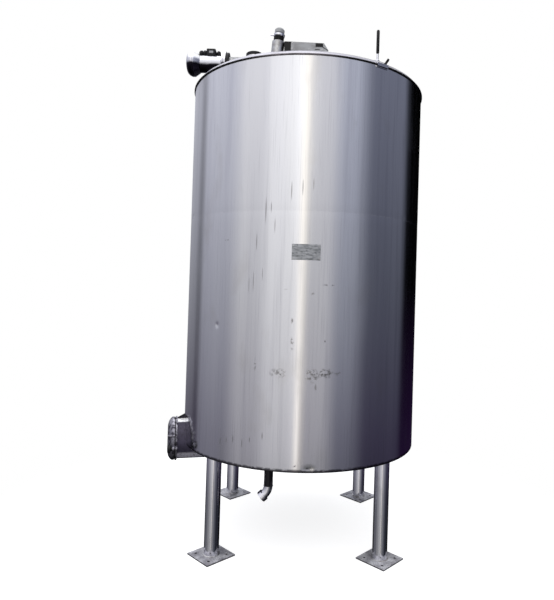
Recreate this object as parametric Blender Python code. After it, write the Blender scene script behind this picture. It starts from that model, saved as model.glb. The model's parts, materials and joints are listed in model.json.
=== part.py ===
"""Vertical stainless storage tank on four pipe legs.

Units are metres, +Z is up and the floor is z = 0. The origin is on the floor at the middle of the
whole object's outline, so the tank's own axis stands a little to the +X side of it: a round clean-out
nozzle and an overhanging drive motor reach out on the -X side. The front of the tank faces -Y.
"""
import math

import bmesh
import bpy
from mathutils import Matrix, Vector

# Driving dimensions
GAP = 0.0003
AXIS_X = 0.046
RADIUS = 0.762
WALL = 0.003
BODY_FOOT_Z = 0.585
BODY_HEIGHT = 2.290
KNUCKLE = 0.006
ROOF_KNUCKLE = 0.026
HEAD_PLATE = 0.004
ROOF_SLOPE = math.radians(3.0)
GIRTH_SEAM_Z = 2.015
ROUND_STEPS = 96
# How far a cutting shape runs past what it cuts
CUT_PAST = 0.02

RIM_BEAD_HEIGHT = 0.010
RIM_BEAD_DROP = 0.002
RIM_BEAD_PROUD = 0.0065

# Each leg's name, distance from the tank's axis, and bearing in degrees; they were not set out evenly
LEG_SPOTS = (
    ("front_left", 0.6965, 225.2),
    ("front_right", 0.6985, 316.35),
    ("rear_right", 0.6900, 45.7),
    ("rear_left", 0.6900, 135.7),
)
LEG_PIPE_OUTER = 0.04445
LEG_PIPE_WALL = 0.00305
BASE_PLATE_SIDE = 0.200
BASE_PLATE_THICK = 0.008
ANCHOR_HOLE_RADIUS = 0.008
ANCHOR_HOLE_INSET = 0.036

NOZZLE_AZIMUTH = 194.0
NOZZLE_Z = 0.599
NOZZLE_OUTER = 0.127
NOZZLE_WALL = 0.004
NOZZLE_INNER_END = 0.600
NOZZLE_FLANGE_X = 0.808
NOZZLE_FLANGE_THICK = 0.010
NOZZLE_FLANGE_RADIUS = 0.138
GASKET_THICK = 0.005
GUSSET_THICK = 0.006
GUSSET_HEIGHT = 0.030
GUSSET_NOSE = 0.006
GASKET_INSET = 0.004
EAR_ROOT_DEPTH = 0.010

COVER_RADIUS = 0.135
COVER_EDGE_THICK = 0.014
COVER_DOME_X = 0.866
# Where the domed cover turns in: share of its radius, and height over its edge or depth under its top
COVER_SHOULDER = (0.93, 0.012)
COVER_BROW = (0.80, 0.006)
COVER_FLAT_SHARE = 0.62
CLAMP_RADIUS = 0.163
CLAMP_ANGLE = -8.0
CLAMP_EAR_RADIUS = 0.013
CLAMP_SCREW_RADIUS = 0.005
CLAMP_KNOB_RADIUS = 0.025
CLAMP_KNOB_LENGTH = 0.030
CLAMP_KNOB_NECK_LENGTH = 0.006
CLAMP_KNOB_FLARE = 0.005
CLAMP_KNOB_EDGE = 0.006
PULL_ANGLE = 20.0
PULL_RADIUS = 0.008

HINGE_Y = -0.160
HINGE_PIN_RADIUS = 0.005
HINGE_BARREL_RADIUS = 0.010
HINGE_RUNNING_GAP = 0.0008
HINGE_LEAF_HALF = 0.020
HINGE_LUG_LOW = 0.023
HINGE_LUG_HIGH = 0.039
HINGE_BACK_THICK = 0.0075
HINGE_BRACKET_REACH = 0.035
HINGE_LEAF_OVERLAP = 0.006
HINGE_LEAF_INSET = 0.002
HINGE_PIN_TAIL = 0.004
HINGE_PIN_HEAD_RADIUS = 0.008
HINGE_PIN_HEAD_THICK = 0.005

OUTLET_X = -0.160
OUTLET_Y = -0.610
OUTLET_OUTER = 0.0254
OUTLET_BORE = 0.0238
OUTLET_BEND_START_Z = 0.462
OUTLET_BEND_RADIUS = 0.070
OUTLET_BEND_ANGLE = math.radians(48.0)
OUTLET_BEND_STEPS = 4
OUTLET_FERRULE_RADIUS = 0.032
OUTLET_FERRULE_LENGTH = 0.022

PLATE_CENTRE_X = 0.015
PLATE_WIDTH = 0.158
PLATE_LOW_Z = 1.743
PLATE_HIGH_Z = 1.830
PLATE_THICK = 0.002

DRIVE_X = -0.470
DRIVE_AXIS_Z = 3.120
MOTOR_END_X = -0.841
MOTOR_FACE_X = -0.550
MOTOR_COWL_RADIUS = 0.084
MOTOR_COWL_ROUND = 0.040
MOTOR_COWL_FULL_LENGTH = 0.050
MOTOR_COWL_LENGTH = 0.094
MOTOR_BODY_RADIUS = 0.057
MOTOR_BELL_RADIUS = 0.085
MOTOR_BELL_LENGTH = 0.034
MOTOR_BELL_RAMP = 0.008
MOTOR_FLANGE_RADIUS = 0.079
MOTOR_FLANGE_THICK = 0.020
GEARBOX_HALF_X = 0.0795
GEARBOX_HALF_Y = 0.062
GEARBOX_LOW_Z = 3.010
GEARBOX_TOP_Z = 3.155
GEARBOX_EDGE = 0.012
STAND_RADIUS = 0.049
STAND_WALL = 0.006
TERMINAL_TOP_Z = 3.217
TERMINAL_SUNK = 0.006
TERMINAL_BOX_X = (-0.7065, -0.6415)
TERMINAL_HALF_Y = 0.038
GLAND_SPANS_X = ((-0.762, -0.704), (-0.644, -0.6105))
GLAND_RADIUS = 0.0235

FITTING_X = -0.177
FITTING_Y = -0.674
FITTING_RADIUS = 0.035
FITTING_JOINT_Z = 2.978
FITTING_STEM_DEPTH = 0.100
# Outlines of the fitting's turned pieces above its joint: radius and height
FITTING_COLLAR = ((0.0, 0.0), (0.026, 0.0), (0.029, 0.003), (0.029, 0.0235), (0.0, 0.0235))
FITTING_CLAMP = ((0.0, 0.0238), (0.029, 0.0238), (0.032, 0.027), (0.032, 0.037), (0.029, 0.040),
                 (0.0, 0.040))
FITTING_CAP = ((0.0, 0.0403), (0.023, 0.0403), (0.023, 0.045), (0.0275, 0.046), (0.0275, 0.062),
               (0.021, 0.070), (0.0, 0.0715))
FITTING_SCREW = (0.005, 0.020, 0.032)
FITTING_LEAN = math.radians(5.0)

HOUSING_LEFT_X = -0.1425
HOUSING_JOIN_X = -0.105
HOUSING_RIGHT_TOP_X = 0.079
HOUSING_RIGHT_FOOT_X = 0.105
HOUSING_FRONT_Y = -0.706
HOUSING_REAR_Y = -0.646
HOUSING_TOP_Z = 2.965
HOUSING_SLOPE_FOOT_Z = 2.921

PORT_X = -0.317
PORT_Y = -0.600
PORT_CAP_RADIUS = 0.049
PORT_CAP_EDGE = 0.003
PORT_NECK_RADIUS = 0.047
PORT_CAP_LOW_Z = 2.923
PORT_CAP_HIGH_Z = 2.934

STRAP_AZIMUTH = -56.9
STRAP_HALF_WIDTH = 0.040
STRAP_THICK = 0.004
STRAP_REACH = 0.060
STRAP_FOOT_Z = 2.858
TAB_X = 0.4325
TAB_Y = -0.620
TAB_Z = 2.884
TAB_LENGTH = 0.040
TAB_LEAN = math.radians(33.0)
TAB_HALF_THICK = 0.006
TAB_HALF_WIDTH = 0.010
TAB_ROOT = 0.012
ROD_X = 0.3915
ROD_Y = -0.617
ROD_GRIP_LOW_Z = 2.949
ROD_GRIP_HIGH_Z = 3.090
ROD_GRIP_RADIUS = 0.009
ROD_CORE_RADIUS = 0.006
ROD_FOOT_RADIUS = 0.011
ROD_FOOT_TOP_Z = 2.912
ROD_FOOT_RAMP = 0.006
STRAP_BLANK_RISE = 0.06
STRAP_BLANK_OUT = 0.03

# Heights worked out from the driving dimensions
BODY_TOP_Z = BODY_FOOT_Z + BODY_HEIGHT
SHELL_FOOT_Z = BODY_FOOT_Z + KNUCKLE + GAP
ROOF_FLAT_RADIUS = RADIUS - ROOF_KNUCKLE
RIM_BEAD_Z = BODY_TOP_Z - RIM_BEAD_DROP
# Pieces that stand on the roof start below its skin and are cut back to it
ROOF_BLANK_Z = BODY_TOP_Z + 0.005


def roof_z(radius, offset=0.0):
    """Height of the roof's outer skin, moved out by an offset, at a distance from the tank's axis."""
    edge = BODY_TOP_Z + (ROOF_KNUCKLE + offset) / math.cos(ROOF_SLOPE)
    return edge + (ROOF_FLAT_RADIUS - radius) * math.tan(ROOF_SLOPE)


def clear_scene():
    for item in list(bpy.data.objects):
        bpy.data.objects.remove(item, do_unlink=True)


def make_material(name, colour, roughness, metallic):
    material = bpy.data.materials.new(name)
    material.use_nodes = True
    shader = material.node_tree.nodes["Principled BSDF"]
    shader.inputs["Base Color"].default_value = (*colour, 1.0)
    shader.inputs["Roughness"].default_value = roughness
    shader.inputs["Metallic"].default_value = metallic
    material.diffuse_color = (*colour, 1.0)
    return material


def make_empty(name, location, parent=None, turn=0.0):
    empty = bpy.data.objects.new(name, None)
    empty.location = location
    empty.rotation_euler = (0.0, 0.0, turn)
    empty.parent = parent
    bpy.context.scene.collection.objects.link(empty)
    return empty


def add_object(name, mesh_builder, parent, material=None, sharp_angle=30.0):
    """Turn a finished bmesh into a named object under its parent."""
    bmesh.ops.remove_doubles(mesh_builder, verts=mesh_builder.verts, dist=1e-6)
    bmesh.ops.recalc_face_normals(mesh_builder, faces=mesh_builder.faces)
    mesh = bpy.data.meshes.new(name)
    mesh_builder.to_mesh(mesh)
    mesh_builder.free()
    mesh.shade_smooth()
    mesh.set_sharp_from_angle(angle=math.radians(sharp_angle))
    item = bpy.data.objects.new(name, mesh)
    item.parent = parent
    if material is not None:
        mesh.materials.append(material)
    bpy.context.scene.collection.objects.link(item)
    return item


def add_cutter(name, mesh_builder, parent):
    cutter = add_object(name, mesh_builder, parent)
    cutter.hide_render = True
    cutter.display_type = "WIRE"
    return cutter


def cut(item, cutter, operation="DIFFERENCE"):
    modifier = item.modifiers.new(operation.title() + "_" + cutter.name, "BOOLEAN")
    modifier.object = cutter
    modifier.operation = operation
    modifier.solver = "EXACT"


def bevel(item, width, segments=2):
    modifier = item.modifiers.new("Bevel", "BEVEL")
    modifier.width = width
    modifier.segments = segments
    modifier.limit_method = "ANGLE"
    modifier.angle_limit = math.radians(40.0)


def turned(profile, steps=ROUND_STEPS, start=0.0, sweep=360.0, axis="Z"):
    """Revolve a closed outline of (radius, height) points; a part turn gets end caps."""
    builder = bmesh.new()
    full = sweep >= 360.0
    count = steps if full else steps + 1
    rings = []
    for index in range(count):
        angle = math.radians(start + sweep * index / steps)
        ring = []
        for radius, height in profile:
            if axis == "Z":
                place = (radius * math.cos(angle), radius * math.sin(angle), height)
            else:
                place = (height, radius * math.cos(angle), radius * math.sin(angle))
            ring.append(builder.verts.new(place))
        rings.append(ring)
    size = len(profile)
    spans = count if full else count - 1
    for index in range(spans):
        near = rings[index]
        far = rings[(index + 1) % count]
        for point in range(size):
            following = (point + 1) % size
            on_axis = profile[point][0] < 1e-9
            next_on_axis = profile[following][0] < 1e-9
            if on_axis and next_on_axis:
                continue
            if on_axis:
                builder.faces.new((near[point], near[following], far[following]))
            elif next_on_axis:
                builder.faces.new((near[point], near[following], far[point]))
            else:
                builder.faces.new((near[point], near[following], far[following], far[point]))
    if not full:
        builder.faces.new(rings[0])
        builder.faces.new(rings[-1])
    return builder


def arc(centre, radius, first, last, steps):
    """Points of an arc in the profile's own plane, angles in degrees."""
    points = []
    for index in range(steps + 1):
        angle = math.radians(first + (last - first) * index / steps)
        points.append((centre[0] + radius * math.cos(angle), centre[1] + radius * math.sin(angle)))
    return points


def prism(outline, depth):
    """Extrude a flat outline of (x, y) points along +Z from z = 0."""
    builder = bmesh.new()
    low = [builder.verts.new((x, y, 0.0)) for x, y in outline]
    high = [builder.verts.new((x, y, depth)) for x, y in outline]
    builder.faces.new(low)
    builder.faces.new(high)
    size = len(outline)
    for index in range(size):
        following = (index + 1) % size
        builder.faces.new((low[index], low[following], high[following], high[index]))
    return builder


def block(low, high):
    """A plain box between two corners."""
    builder = prism([(low[0], low[1]), (high[0], low[1]), (high[0], high[1]), (low[0], high[1])],
                    high[2] - low[2])
    bmesh.ops.translate(builder, verts=builder.verts, vec=(0.0, 0.0, low[2]))
    return builder


def rod(radius, length, steps=24):
    """A solid round bar along +Z from z = 0."""
    return prism(arc((0.0, 0.0), radius, 0.0, 360.0 - 360.0 / steps, steps - 1), length)


def pipe(stations, outer, inner, steps=24):
    """A hollow tube through (centre, side, up) stations."""
    builder = bmesh.new()
    rings = []
    for centre, side, up in stations:
        pair = []
        for radius in (outer, inner):
            ring = []
            for index in range(steps):
                angle = 2.0 * math.pi * index / steps
                ring.append(builder.verts.new(
                    centre + side * (radius * math.cos(angle)) + up * (radius * math.sin(angle))))
            pair.append(ring)
        rings.append(pair)
    for index in range(steps):
        following = (index + 1) % steps
        for near, far in zip(rings, rings[1:]):
            for skin in (0, 1):
                builder.faces.new((near[skin][index], near[skin][following],
                                   far[skin][following], far[skin][index]))
        for pair in (rings[0], rings[-1]):
            builder.faces.new((pair[0][index], pair[0][following], pair[1][following], pair[1][index]))
    return builder


def straight_stations(low, high):
    side = Vector((1.0, 0.0, 0.0))
    up = Vector((0.0, 1.0, 0.0))
    return [(Vector(low), side, up), (Vector(high), side, up)]


def placed(builder, matrix):
    bmesh.ops.transform(builder, matrix=matrix, verts=builder.verts)
    return builder


def joined(builders):
    """Several closed shapes in one bmesh."""
    whole = bmesh.new()
    for builder in builders:
        spare = bpy.data.meshes.new("spare")
        builder.to_mesh(spare)
        builder.free()
        whole.from_mesh(spare)
        bpy.data.meshes.remove(spare)
    return whole


def materials():
    return {
        "stainless": make_material("stainless_sheet", (0.62, 0.62, 0.65), 0.32, 1.0),
        "pipe": make_material("stainless_pipe", (0.55, 0.55, 0.58), 0.35, 1.0),
        "plate": make_material("weathered_plate", (0.42, 0.42, 0.43), 0.55, 0.9),
        "cast": make_material("cast_stainless", (0.50, 0.50, 0.52), 0.45, 1.0),
        "rubber": make_material("black_rubber", (0.02, 0.02, 0.02), 0.75, 0.0),
        "grip": make_material("black_plastic", (0.01, 0.01, 0.01), 0.45, 0.0),
        "gearbox": make_material("grey_paint", (0.45, 0.46, 0.47), 0.45, 0.0),
        "plate_sign": make_material("etched_plate", (0.30, 0.30, 0.31), 0.50, 0.9),
        "enclosure": make_material("grey_enclosure", (0.42, 0.43, 0.44), 0.50, 0.0),
    }


def build_shell(root, paint):
    """Two rolled courses, each in four curved plates; the nozzle passes the lower left one."""
    names = {0: "right", 90: "back", 180: "left", 270: "front"}
    courses = {
        "lower": (SHELL_FOOT_Z, GIRTH_SEAM_Z - GAP / 2),
        "upper": (GIRTH_SEAM_Z + GAP / 2, BODY_TOP_Z - GAP),
    }
    edge = math.degrees(GAP / 2 / RADIUS)
    plates = {}
    for course, (low, high) in courses.items():
        for centre, side in names.items():
            profile = [(RADIUS - WALL, low), (RADIUS, low), (RADIUS, high), (RADIUS - WALL, high)]
            builder = turned(profile, ROUND_STEPS // 4, centre - 45.0 + edge, 90.0 - 2 * edge)
            name = "shell_" + course + "_" + side
            plates[name] = add_object(name, builder, root, paint["stainless"])
    return plates


def build_heads(root, paint):
    """Bottom and roof plates with small knuckles, and the bead round the top seam."""
    inner = KNUCKLE - HEAD_PLATE
    foot = [(0.0, BODY_FOOT_Z)]
    foot += arc((RADIUS - KNUCKLE, BODY_FOOT_Z + KNUCKLE), KNUCKLE, -90.0, 0.0, 3)
    foot += arc((RADIUS - KNUCKLE, BODY_FOOT_Z + KNUCKLE), inner, 0.0, -90.0, 3)
    foot += [(0.0, BODY_FOOT_Z + HEAD_PLATE)]
    bottom = add_object("bottom_head", turned(foot), root, paint["stainless"])
    centre = (ROOF_FLAT_RADIUS, BODY_TOP_Z)
    slope = math.degrees(ROOF_SLOPE)
    top = arc(centre, ROOF_KNUCKLE, 0.0, 90.0 - slope, 3)
    top += [(0.0, roof_z(0.0)), (0.0, roof_z(0.0, -HEAD_PLATE))]
    top += arc(centre, ROOF_KNUCKLE - HEAD_PLATE, 90.0 - slope, 0.0, 3)
    add_object("roof_head", turned(top), root, paint["stainless"])
    start = RADIUS + GAP
    half = RIM_BEAD_HEIGHT / 2
    low = RIM_BEAD_Z - half
    bead = [(start, low), (start + RIM_BEAD_PROUD, low + half * 0.4),
            (start + RIM_BEAD_PROUD, low + half * 1.6), (start, low + 2 * half)]
    add_object("top_rim_bead", turned(bead), root, paint["rubber"])
    return bottom


def build_legs(root, paint):
    """Four pipe legs with square base plates, their corners towards and away from the tank's axis."""
    half = BASE_PLATE_SIDE / 2
    hole_at = half - ANCHOR_HOLE_INSET
    for name, radius, bearing in LEG_SPOTS:
        azimuth = math.radians(bearing)
        place = (radius * math.cos(azimuth), radius * math.sin(azimuth), 0.0)
        foot = make_empty("foot_centre_" + name, place, root, azimuth)
        plate = add_object("base_plate_" + name,
                           block((-half, -half, 0.0), (half, half, BASE_PLATE_THICK)),
                           foot, paint["plate"])
        drills = []
        for x in (-hole_at, hole_at):
            for y in (-hole_at, hole_at):
                drills.append(placed(rod(ANCHOR_HOLE_RADIUS, 3 * BASE_PLATE_THICK, 16),
                                     Matrix.Translation((x, y, -BASE_PLATE_THICK))))
        cut(plate, add_cutter("anchor_hole_cutter_" + name, joined(drills), foot))
        stations = straight_stations((0.0, 0.0, BASE_PLATE_THICK + GAP), (0.0, 0.0, BODY_FOOT_Z - GAP))
        add_object("leg_" + name, pipe(stations, LEG_PIPE_OUTER, LEG_PIPE_OUTER - LEG_PIPE_WALL, 24),
                   foot, paint["pipe"])


def rim_outline(offset):
    """The tank's skin from below the bead to the roof's tip, moved out by an offset."""
    centre = (ROOF_FLAT_RADIUS, BODY_TOP_Z)
    slope = math.degrees(ROOF_SLOPE)
    bead = RADIUS + GAP + RIM_BEAD_PROUD + offset
    half = RIM_BEAD_HEIGHT / 2 + offset
    outline = [(bead, RIM_BEAD_Z - half), (bead, RIM_BEAD_Z + half), (RADIUS + offset, RIM_BEAD_Z + half)]
    outline += arc(centre, ROOF_KNUCKLE + offset, 29.0, 90.0 - slope, 2)
    outline += [(0.0, roof_z(0.0, offset))]
    return outline


def tank_envelope(root, name, offset):
    """Cutter with the tank's own outer skin, moved out by an offset: it seats pieces on the roof."""
    outline = [(0.0, GIRTH_SEAM_Z), (RADIUS + offset, GIRTH_SEAM_Z),
               (RADIUS + offset, RIM_BEAD_Z - RIM_BEAD_HEIGHT / 2 - offset)]
    return add_cutter(name, turned(outline + rim_outline(offset)), root)


def build_nozzle(root, paint, plates, bottom):
    """Round clean-out nozzle: its lower half runs under the bottom as a sump and is closed inside."""
    frame = make_empty("nozzle_frame", (0.0, 0.0, 0.0), root, math.radians(NOZZLE_AZIMUTH))
    axis_at = Matrix.Translation((0.0, 0.0, NOZZLE_Z))
    inner = NOZZLE_OUTER - NOZZLE_WALL
    wall = [(0.0, NOZZLE_INNER_END), (NOZZLE_OUTER, NOZZLE_INNER_END),
            (NOZZLE_OUTER, NOZZLE_FLANGE_X - GAP), (inner, NOZZLE_FLANGE_X - GAP),
            (inner, NOZZLE_INNER_END + NOZZLE_WALL), (0.0, NOZZLE_INNER_END + NOZZLE_WALL)]
    neck = add_object("nozzle_neck", placed(turned(wall, 48, axis="X"), axis_at), frame,
                      paint["stainless"])
    room = [(0.0, BODY_FOOT_Z + HEAD_PLATE), (RADIUS - WALL, BODY_FOOT_Z + HEAD_PLATE),
            (RADIUS - WALL, GIRTH_SEAM_Z), (0.0, GIRTH_SEAM_Z)]
    cut(neck, add_cutter("tank_room_cutter", turned(room), root))
    beyond = NOZZLE_FLANGE_X + 5 * CUT_PAST
    path = [(0.0, NOZZLE_INNER_END - GAP), (NOZZLE_OUTER + GAP, NOZZLE_INNER_END - GAP),
            (NOZZLE_OUTER + GAP, beyond), (0.0, beyond)]
    path_cutter = add_cutter("nozzle_path_cutter", placed(turned(path, 48, axis="X"), axis_at), frame)
    cut(plates["shell_lower_left"], path_cutter)
    cut(bottom, path_cutter)

    flange_end = NOZZLE_FLANGE_X + NOZZLE_FLANGE_THICK
    ring = [(inner, NOZZLE_FLANGE_X), (NOZZLE_FLANGE_RADIUS, NOZZLE_FLANGE_X),
            (NOZZLE_FLANGE_RADIUS, flange_end), (inner, flange_end)]
    flange = add_object("nozzle_flange", placed(turned(ring, 48, axis="X"), axis_at), frame,
                        paint["cast"])
    ear = clamp_ear(NOZZLE_FLANGE_RADIUS - EAR_ROOT_DEPTH, NOZZLE_FLANGE_X, flange_end)
    cut(flange, add_cutter("flange_ear_shape", placed(ear, axis_at), frame), "UNION")
    hole = clamp_hole(NOZZLE_FLANGE_X - CUT_PAST, flange_end + CUT_PAST)
    cut(flange, add_cutter("flange_ear_hole_cutter", placed(hole, axis_at), frame))

    seat = flange_end + GAP
    gasket_radius = COVER_RADIUS - GASKET_INSET
    gasket = [(inner, seat), (gasket_radius, seat), (gasket_radius, seat + GASKET_THICK),
              (inner, seat + GASKET_THICK)]
    add_object("nozzle_gasket", placed(turned(gasket, 48, axis="X"), axis_at), frame, paint["rubber"])

    foot = NOZZLE_Z + NOZZLE_OUTER + GAP
    outline = [(RADIUS + GAP, foot), (NOZZLE_FLANGE_X - GAP, foot),
               (NOZZLE_FLANGE_X - GAP, foot + GUSSET_NOSE), (RADIUS + GAP, foot + GUSSET_HEIGHT)]
    turn = Matrix.Translation((0.0, GUSSET_THICK / 2, 0.0)) @ Matrix.Rotation(math.radians(90.0), 4, "X")
    add_object("nozzle_gusset", placed(prism(outline, GUSSET_THICK), turn), frame, paint["stainless"])
    return frame, seat + GASKET_THICK + GAP


def about_nozzle(angle):
    """Turn a shape so its +Z runs out along the nozzle and its +X points out from the nozzle's axis."""
    stand = Matrix(((0.0, 0.0, 1.0), (1.0, 0.0, 0.0), (0.0, 1.0, 0.0))).to_4x4()
    return Matrix.Rotation(math.radians(angle), 4, "X") @ stand


def clamp_ear(root_radius, low, high):
    outline = [(root_radius, -CLAMP_EAR_RADIUS)]
    outline += arc((CLAMP_RADIUS, 0.0), CLAMP_EAR_RADIUS, -90.0, 90.0, 8)
    outline += [(root_radius, CLAMP_EAR_RADIUS)]
    return placed(prism(outline, high - low),
                  about_nozzle(CLAMP_ANGLE) @ Matrix.Translation((0.0, 0.0, low)))


def clamp_hole(low, high):
    return placed(rod(CLAMP_SCREW_RADIUS + GAP, high - low, 16),
                  about_nozzle(CLAMP_ANGLE) @ Matrix.Translation((CLAMP_RADIUS, 0.0, low)))


def build_cover(frame, paint, back_x):
    """Hinged cover with its leaf and a captive clamp knob, all about the hinge's own axis."""
    hinge_x = NOZZLE_FLANGE_X + NOZZLE_FLANGE_THICK + HINGE_BARREL_RADIUS
    hinge = make_empty("cover_hinge_axis", (hinge_x, HINGE_Y, NOZZLE_Z), frame)
    to_cover = Matrix.Translation((-hinge_x, -HINGE_Y, 0.0))
    edge_x = back_x + COVER_EDGE_THICK
    dome = [(0.0, back_x), (COVER_RADIUS, back_x), (COVER_RADIUS, edge_x),
            (COVER_RADIUS * COVER_SHOULDER[0], edge_x + COVER_SHOULDER[1]),
            (COVER_RADIUS * COVER_BROW[0], COVER_DOME_X - COVER_BROW[1]),
            (COVER_RADIUS * COVER_FLAT_SHARE, COVER_DOME_X), (0.0, COVER_DOME_X)]
    cover = add_object("cover", placed(turned(dome, 48, axis="X"), to_cover), hinge, paint["stainless"])
    ear = placed(clamp_ear(COVER_RADIUS - EAR_ROOT_DEPTH, back_x, edge_x), to_cover)
    cut(cover, add_cutter("cover_ear_shape", ear, hinge), "UNION")
    pull = placed(rod(PULL_RADIUS, COVER_DOME_X - back_x, 12),
                  about_nozzle(PULL_ANGLE) @ Matrix.Translation((COVER_RADIUS, 0.0, back_x)))
    cut(cover, add_cutter("cover_pull_shape", placed(pull, to_cover), hinge), "UNION")
    hole = placed(clamp_hole(back_x - CUT_PAST, edge_x + CUT_PAST), to_cover)
    cut(cover, add_cutter("cover_ear_hole_cutter", hole, hinge))

    top = edge_x + CLAMP_KNOB_LENGTH
    neck = CLAMP_KNOB_RADIUS / 2
    flare = edge_x + CLAMP_KNOB_NECK_LENGTH
    knob = [(0.0, back_x), (CLAMP_SCREW_RADIUS, back_x), (CLAMP_SCREW_RADIUS, edge_x + GAP),
            (neck, edge_x + GAP), (neck, flare), (CLAMP_KNOB_RADIUS, flare + CLAMP_KNOB_FLARE),
            (CLAMP_KNOB_RADIUS, top - CLAMP_KNOB_EDGE), (CLAMP_KNOB_RADIUS - CLAMP_KNOB_EDGE, top),
            (0.0, top)]
    place = to_cover @ Matrix.Rotation(math.radians(CLAMP_ANGLE), 4, "X")
    place = place @ Matrix.Translation((0.0, CLAMP_RADIUS, 0.0))
    add_object("clamp_knob", placed(turned(knob, 20, axis="X"), place), hinge, paint["grip"])

    reach = -HINGE_Y - COVER_RADIUS + HINGE_LEAF_OVERLAP
    near = back_x - hinge_x
    far = edge_x - hinge_x - HINGE_LEAF_INSET
    first = 180.0 - math.degrees(math.acos(-near / HINGE_BARREL_RADIUS))
    last = 360.0 + math.degrees(math.acos(far / HINGE_BARREL_RADIUS))
    outline = [(near, reach)]
    outline += arc((0.0, 0.0), HINGE_BARREL_RADIUS, first, last, 20)
    outline += [(far, reach)]
    shape = placed(prism(outline, 2 * HINGE_LEAF_HALF), Matrix.Translation((0.0, 0.0, -HINGE_LEAF_HALF)))
    leaf = add_object("cover_hinge_leaf", shape, hinge, paint["cast"])
    bore = placed(rod(HINGE_PIN_RADIUS + HINGE_RUNNING_GAP, 4 * HINGE_LEAF_HALF),
                  Matrix.Translation((0.0, 0.0, -2 * HINGE_LEAF_HALF)))
    cut(leaf, add_cutter("leaf_bore_cutter", bore, hinge))
    rim = [(0.0, back_x - CUT_PAST), (COVER_RADIUS + GAP, back_x - CUT_PAST),
           (COVER_RADIUS + GAP, edge_x + CUT_PAST), (0.0, edge_x + CUT_PAST)]
    cut(leaf, add_cutter("cover_edge_cutter", placed(turned(rim, 48, axis="X"), to_cover), hinge))
    build_hinge_bracket(frame, paint, hinge_x)


def build_hinge_bracket(frame, paint, hinge_x):
    """Fixed side of the hinge: two lugs on a back strip that is seated on the flange's rim."""
    at_hinge = Matrix.Translation((hinge_x, HINGE_Y, NOZZLE_Z))
    back = NOZZLE_FLANGE_X - hinge_x
    reach = HINGE_BRACKET_REACH
    outline = [(back, reach), (-HINGE_BARREL_RADIUS, reach), (-HINGE_BARREL_RADIUS, HINGE_BARREL_RADIUS)]
    outline += arc((0.0, 0.0), HINGE_BARREL_RADIUS, 90.0, -90.0, 12)
    outline += [(back, -HINGE_BARREL_RADIUS)]
    shape = placed(prism(outline, 2 * HINGE_LUG_HIGH),
                   at_hinge @ Matrix.Translation((0.0, 0.0, -HINGE_LUG_HIGH)))
    bracket = add_object("hinge_bracket", shape, frame, paint["cast"])
    window = placed(block((back + HINGE_BACK_THICK, -reach, -HINGE_LUG_LOW),
                          (reach, 2 * reach, HINGE_LUG_LOW)), at_hinge)
    cut(bracket, add_cutter("bracket_window_cutter", window, frame))
    rim = [(0.0, NOZZLE_FLANGE_X - CUT_PAST), (NOZZLE_FLANGE_RADIUS + GAP, NOZZLE_FLANGE_X - CUT_PAST),
           (NOZZLE_FLANGE_RADIUS + GAP, hinge_x + 2 * CUT_PAST), (0.0, hinge_x + 2 * CUT_PAST)]
    at_nozzle = Matrix.Translation((0.0, 0.0, NOZZLE_Z))
    cut(bracket, add_cutter("flange_edge_cutter", placed(turned(rim, 48, axis="X"), at_nozzle), frame))
    bore = placed(rod(HINGE_PIN_RADIUS + GAP, 4 * HINGE_LUG_HIGH),
                  at_hinge @ Matrix.Translation((0.0, 0.0, -2 * HINGE_LUG_HIGH)))
    cut(bracket, add_cutter("bracket_bore_cutter", bore, frame))
    head = HINGE_LUG_HIGH + GAP
    tail = -HINGE_LUG_HIGH - HINGE_PIN_TAIL
    pin = [(0.0, tail), (HINGE_PIN_RADIUS, tail), (HINGE_PIN_RADIUS, head),
           (HINGE_PIN_HEAD_RADIUS, head), (HINGE_PIN_HEAD_RADIUS, head + HINGE_PIN_HEAD_THICK),
           (0.0, head + HINGE_PIN_HEAD_THICK)]
    add_object("hinge_pin", placed(turned(pin, 16), at_hinge), frame, paint["pipe"])


def build_outlet(root, paint, bottom):
    """Bottom outlet: a stub down from the flat bottom, an elbow to the left and a ferrule end."""
    left = Vector((-1.0, 0.0, 0.0))
    down = Vector((0.0, 0.0, -1.0))
    side = Vector((0.0, 1.0, 0.0))
    stub = [(Vector((OUTLET_X, OUTLET_Y, BODY_FOOT_Z + HEAD_PLATE)), left, side),
            (Vector((OUTLET_X, OUTLET_Y, OUTLET_BEND_START_Z + GAP)), left, side)]
    add_object("outlet_stub", pipe(stub, OUTLET_OUTER, OUTLET_BORE, 24), root, paint["pipe"])
    start = Vector((OUTLET_X, OUTLET_Y, OUTLET_BEND_START_Z))
    stations = []
    for index in range(OUTLET_BEND_STEPS + 1):
        angle = OUTLET_BEND_ANGLE * index / OUTLET_BEND_STEPS
        centre = start + left * (OUTLET_BEND_RADIUS * (1.0 - math.cos(angle)))
        centre = centre + down * (OUTLET_BEND_RADIUS * math.sin(angle))
        across = left * math.cos(angle) - down * math.sin(angle)
        stations.append((centre, across, side))
    add_object("outlet_elbow", pipe(stations, OUTLET_OUTER, OUTLET_BORE, 24), root, paint["pipe"])
    heading = left * math.sin(OUTLET_BEND_ANGLE) + down * math.cos(OUTLET_BEND_ANGLE)
    near = stations[-1][0] + heading * GAP
    far = near + heading * OUTLET_FERRULE_LENGTH
    across = stations[-1][1]
    add_object("outlet_ferrule", pipe([(near, across, side), (far, across, side)],
                                      OUTLET_FERRULE_RADIUS, OUTLET_BORE, 24), root, paint["pipe"])
    hole = placed(rod(OUTLET_OUTER + GAP, 2 * CUT_PAST, 24),
                  Matrix.Translation((OUTLET_X, OUTLET_Y, BODY_FOOT_Z - CUT_PAST)))
    cut(bottom, add_cutter("outlet_hole_cutter", hole, root))


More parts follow.
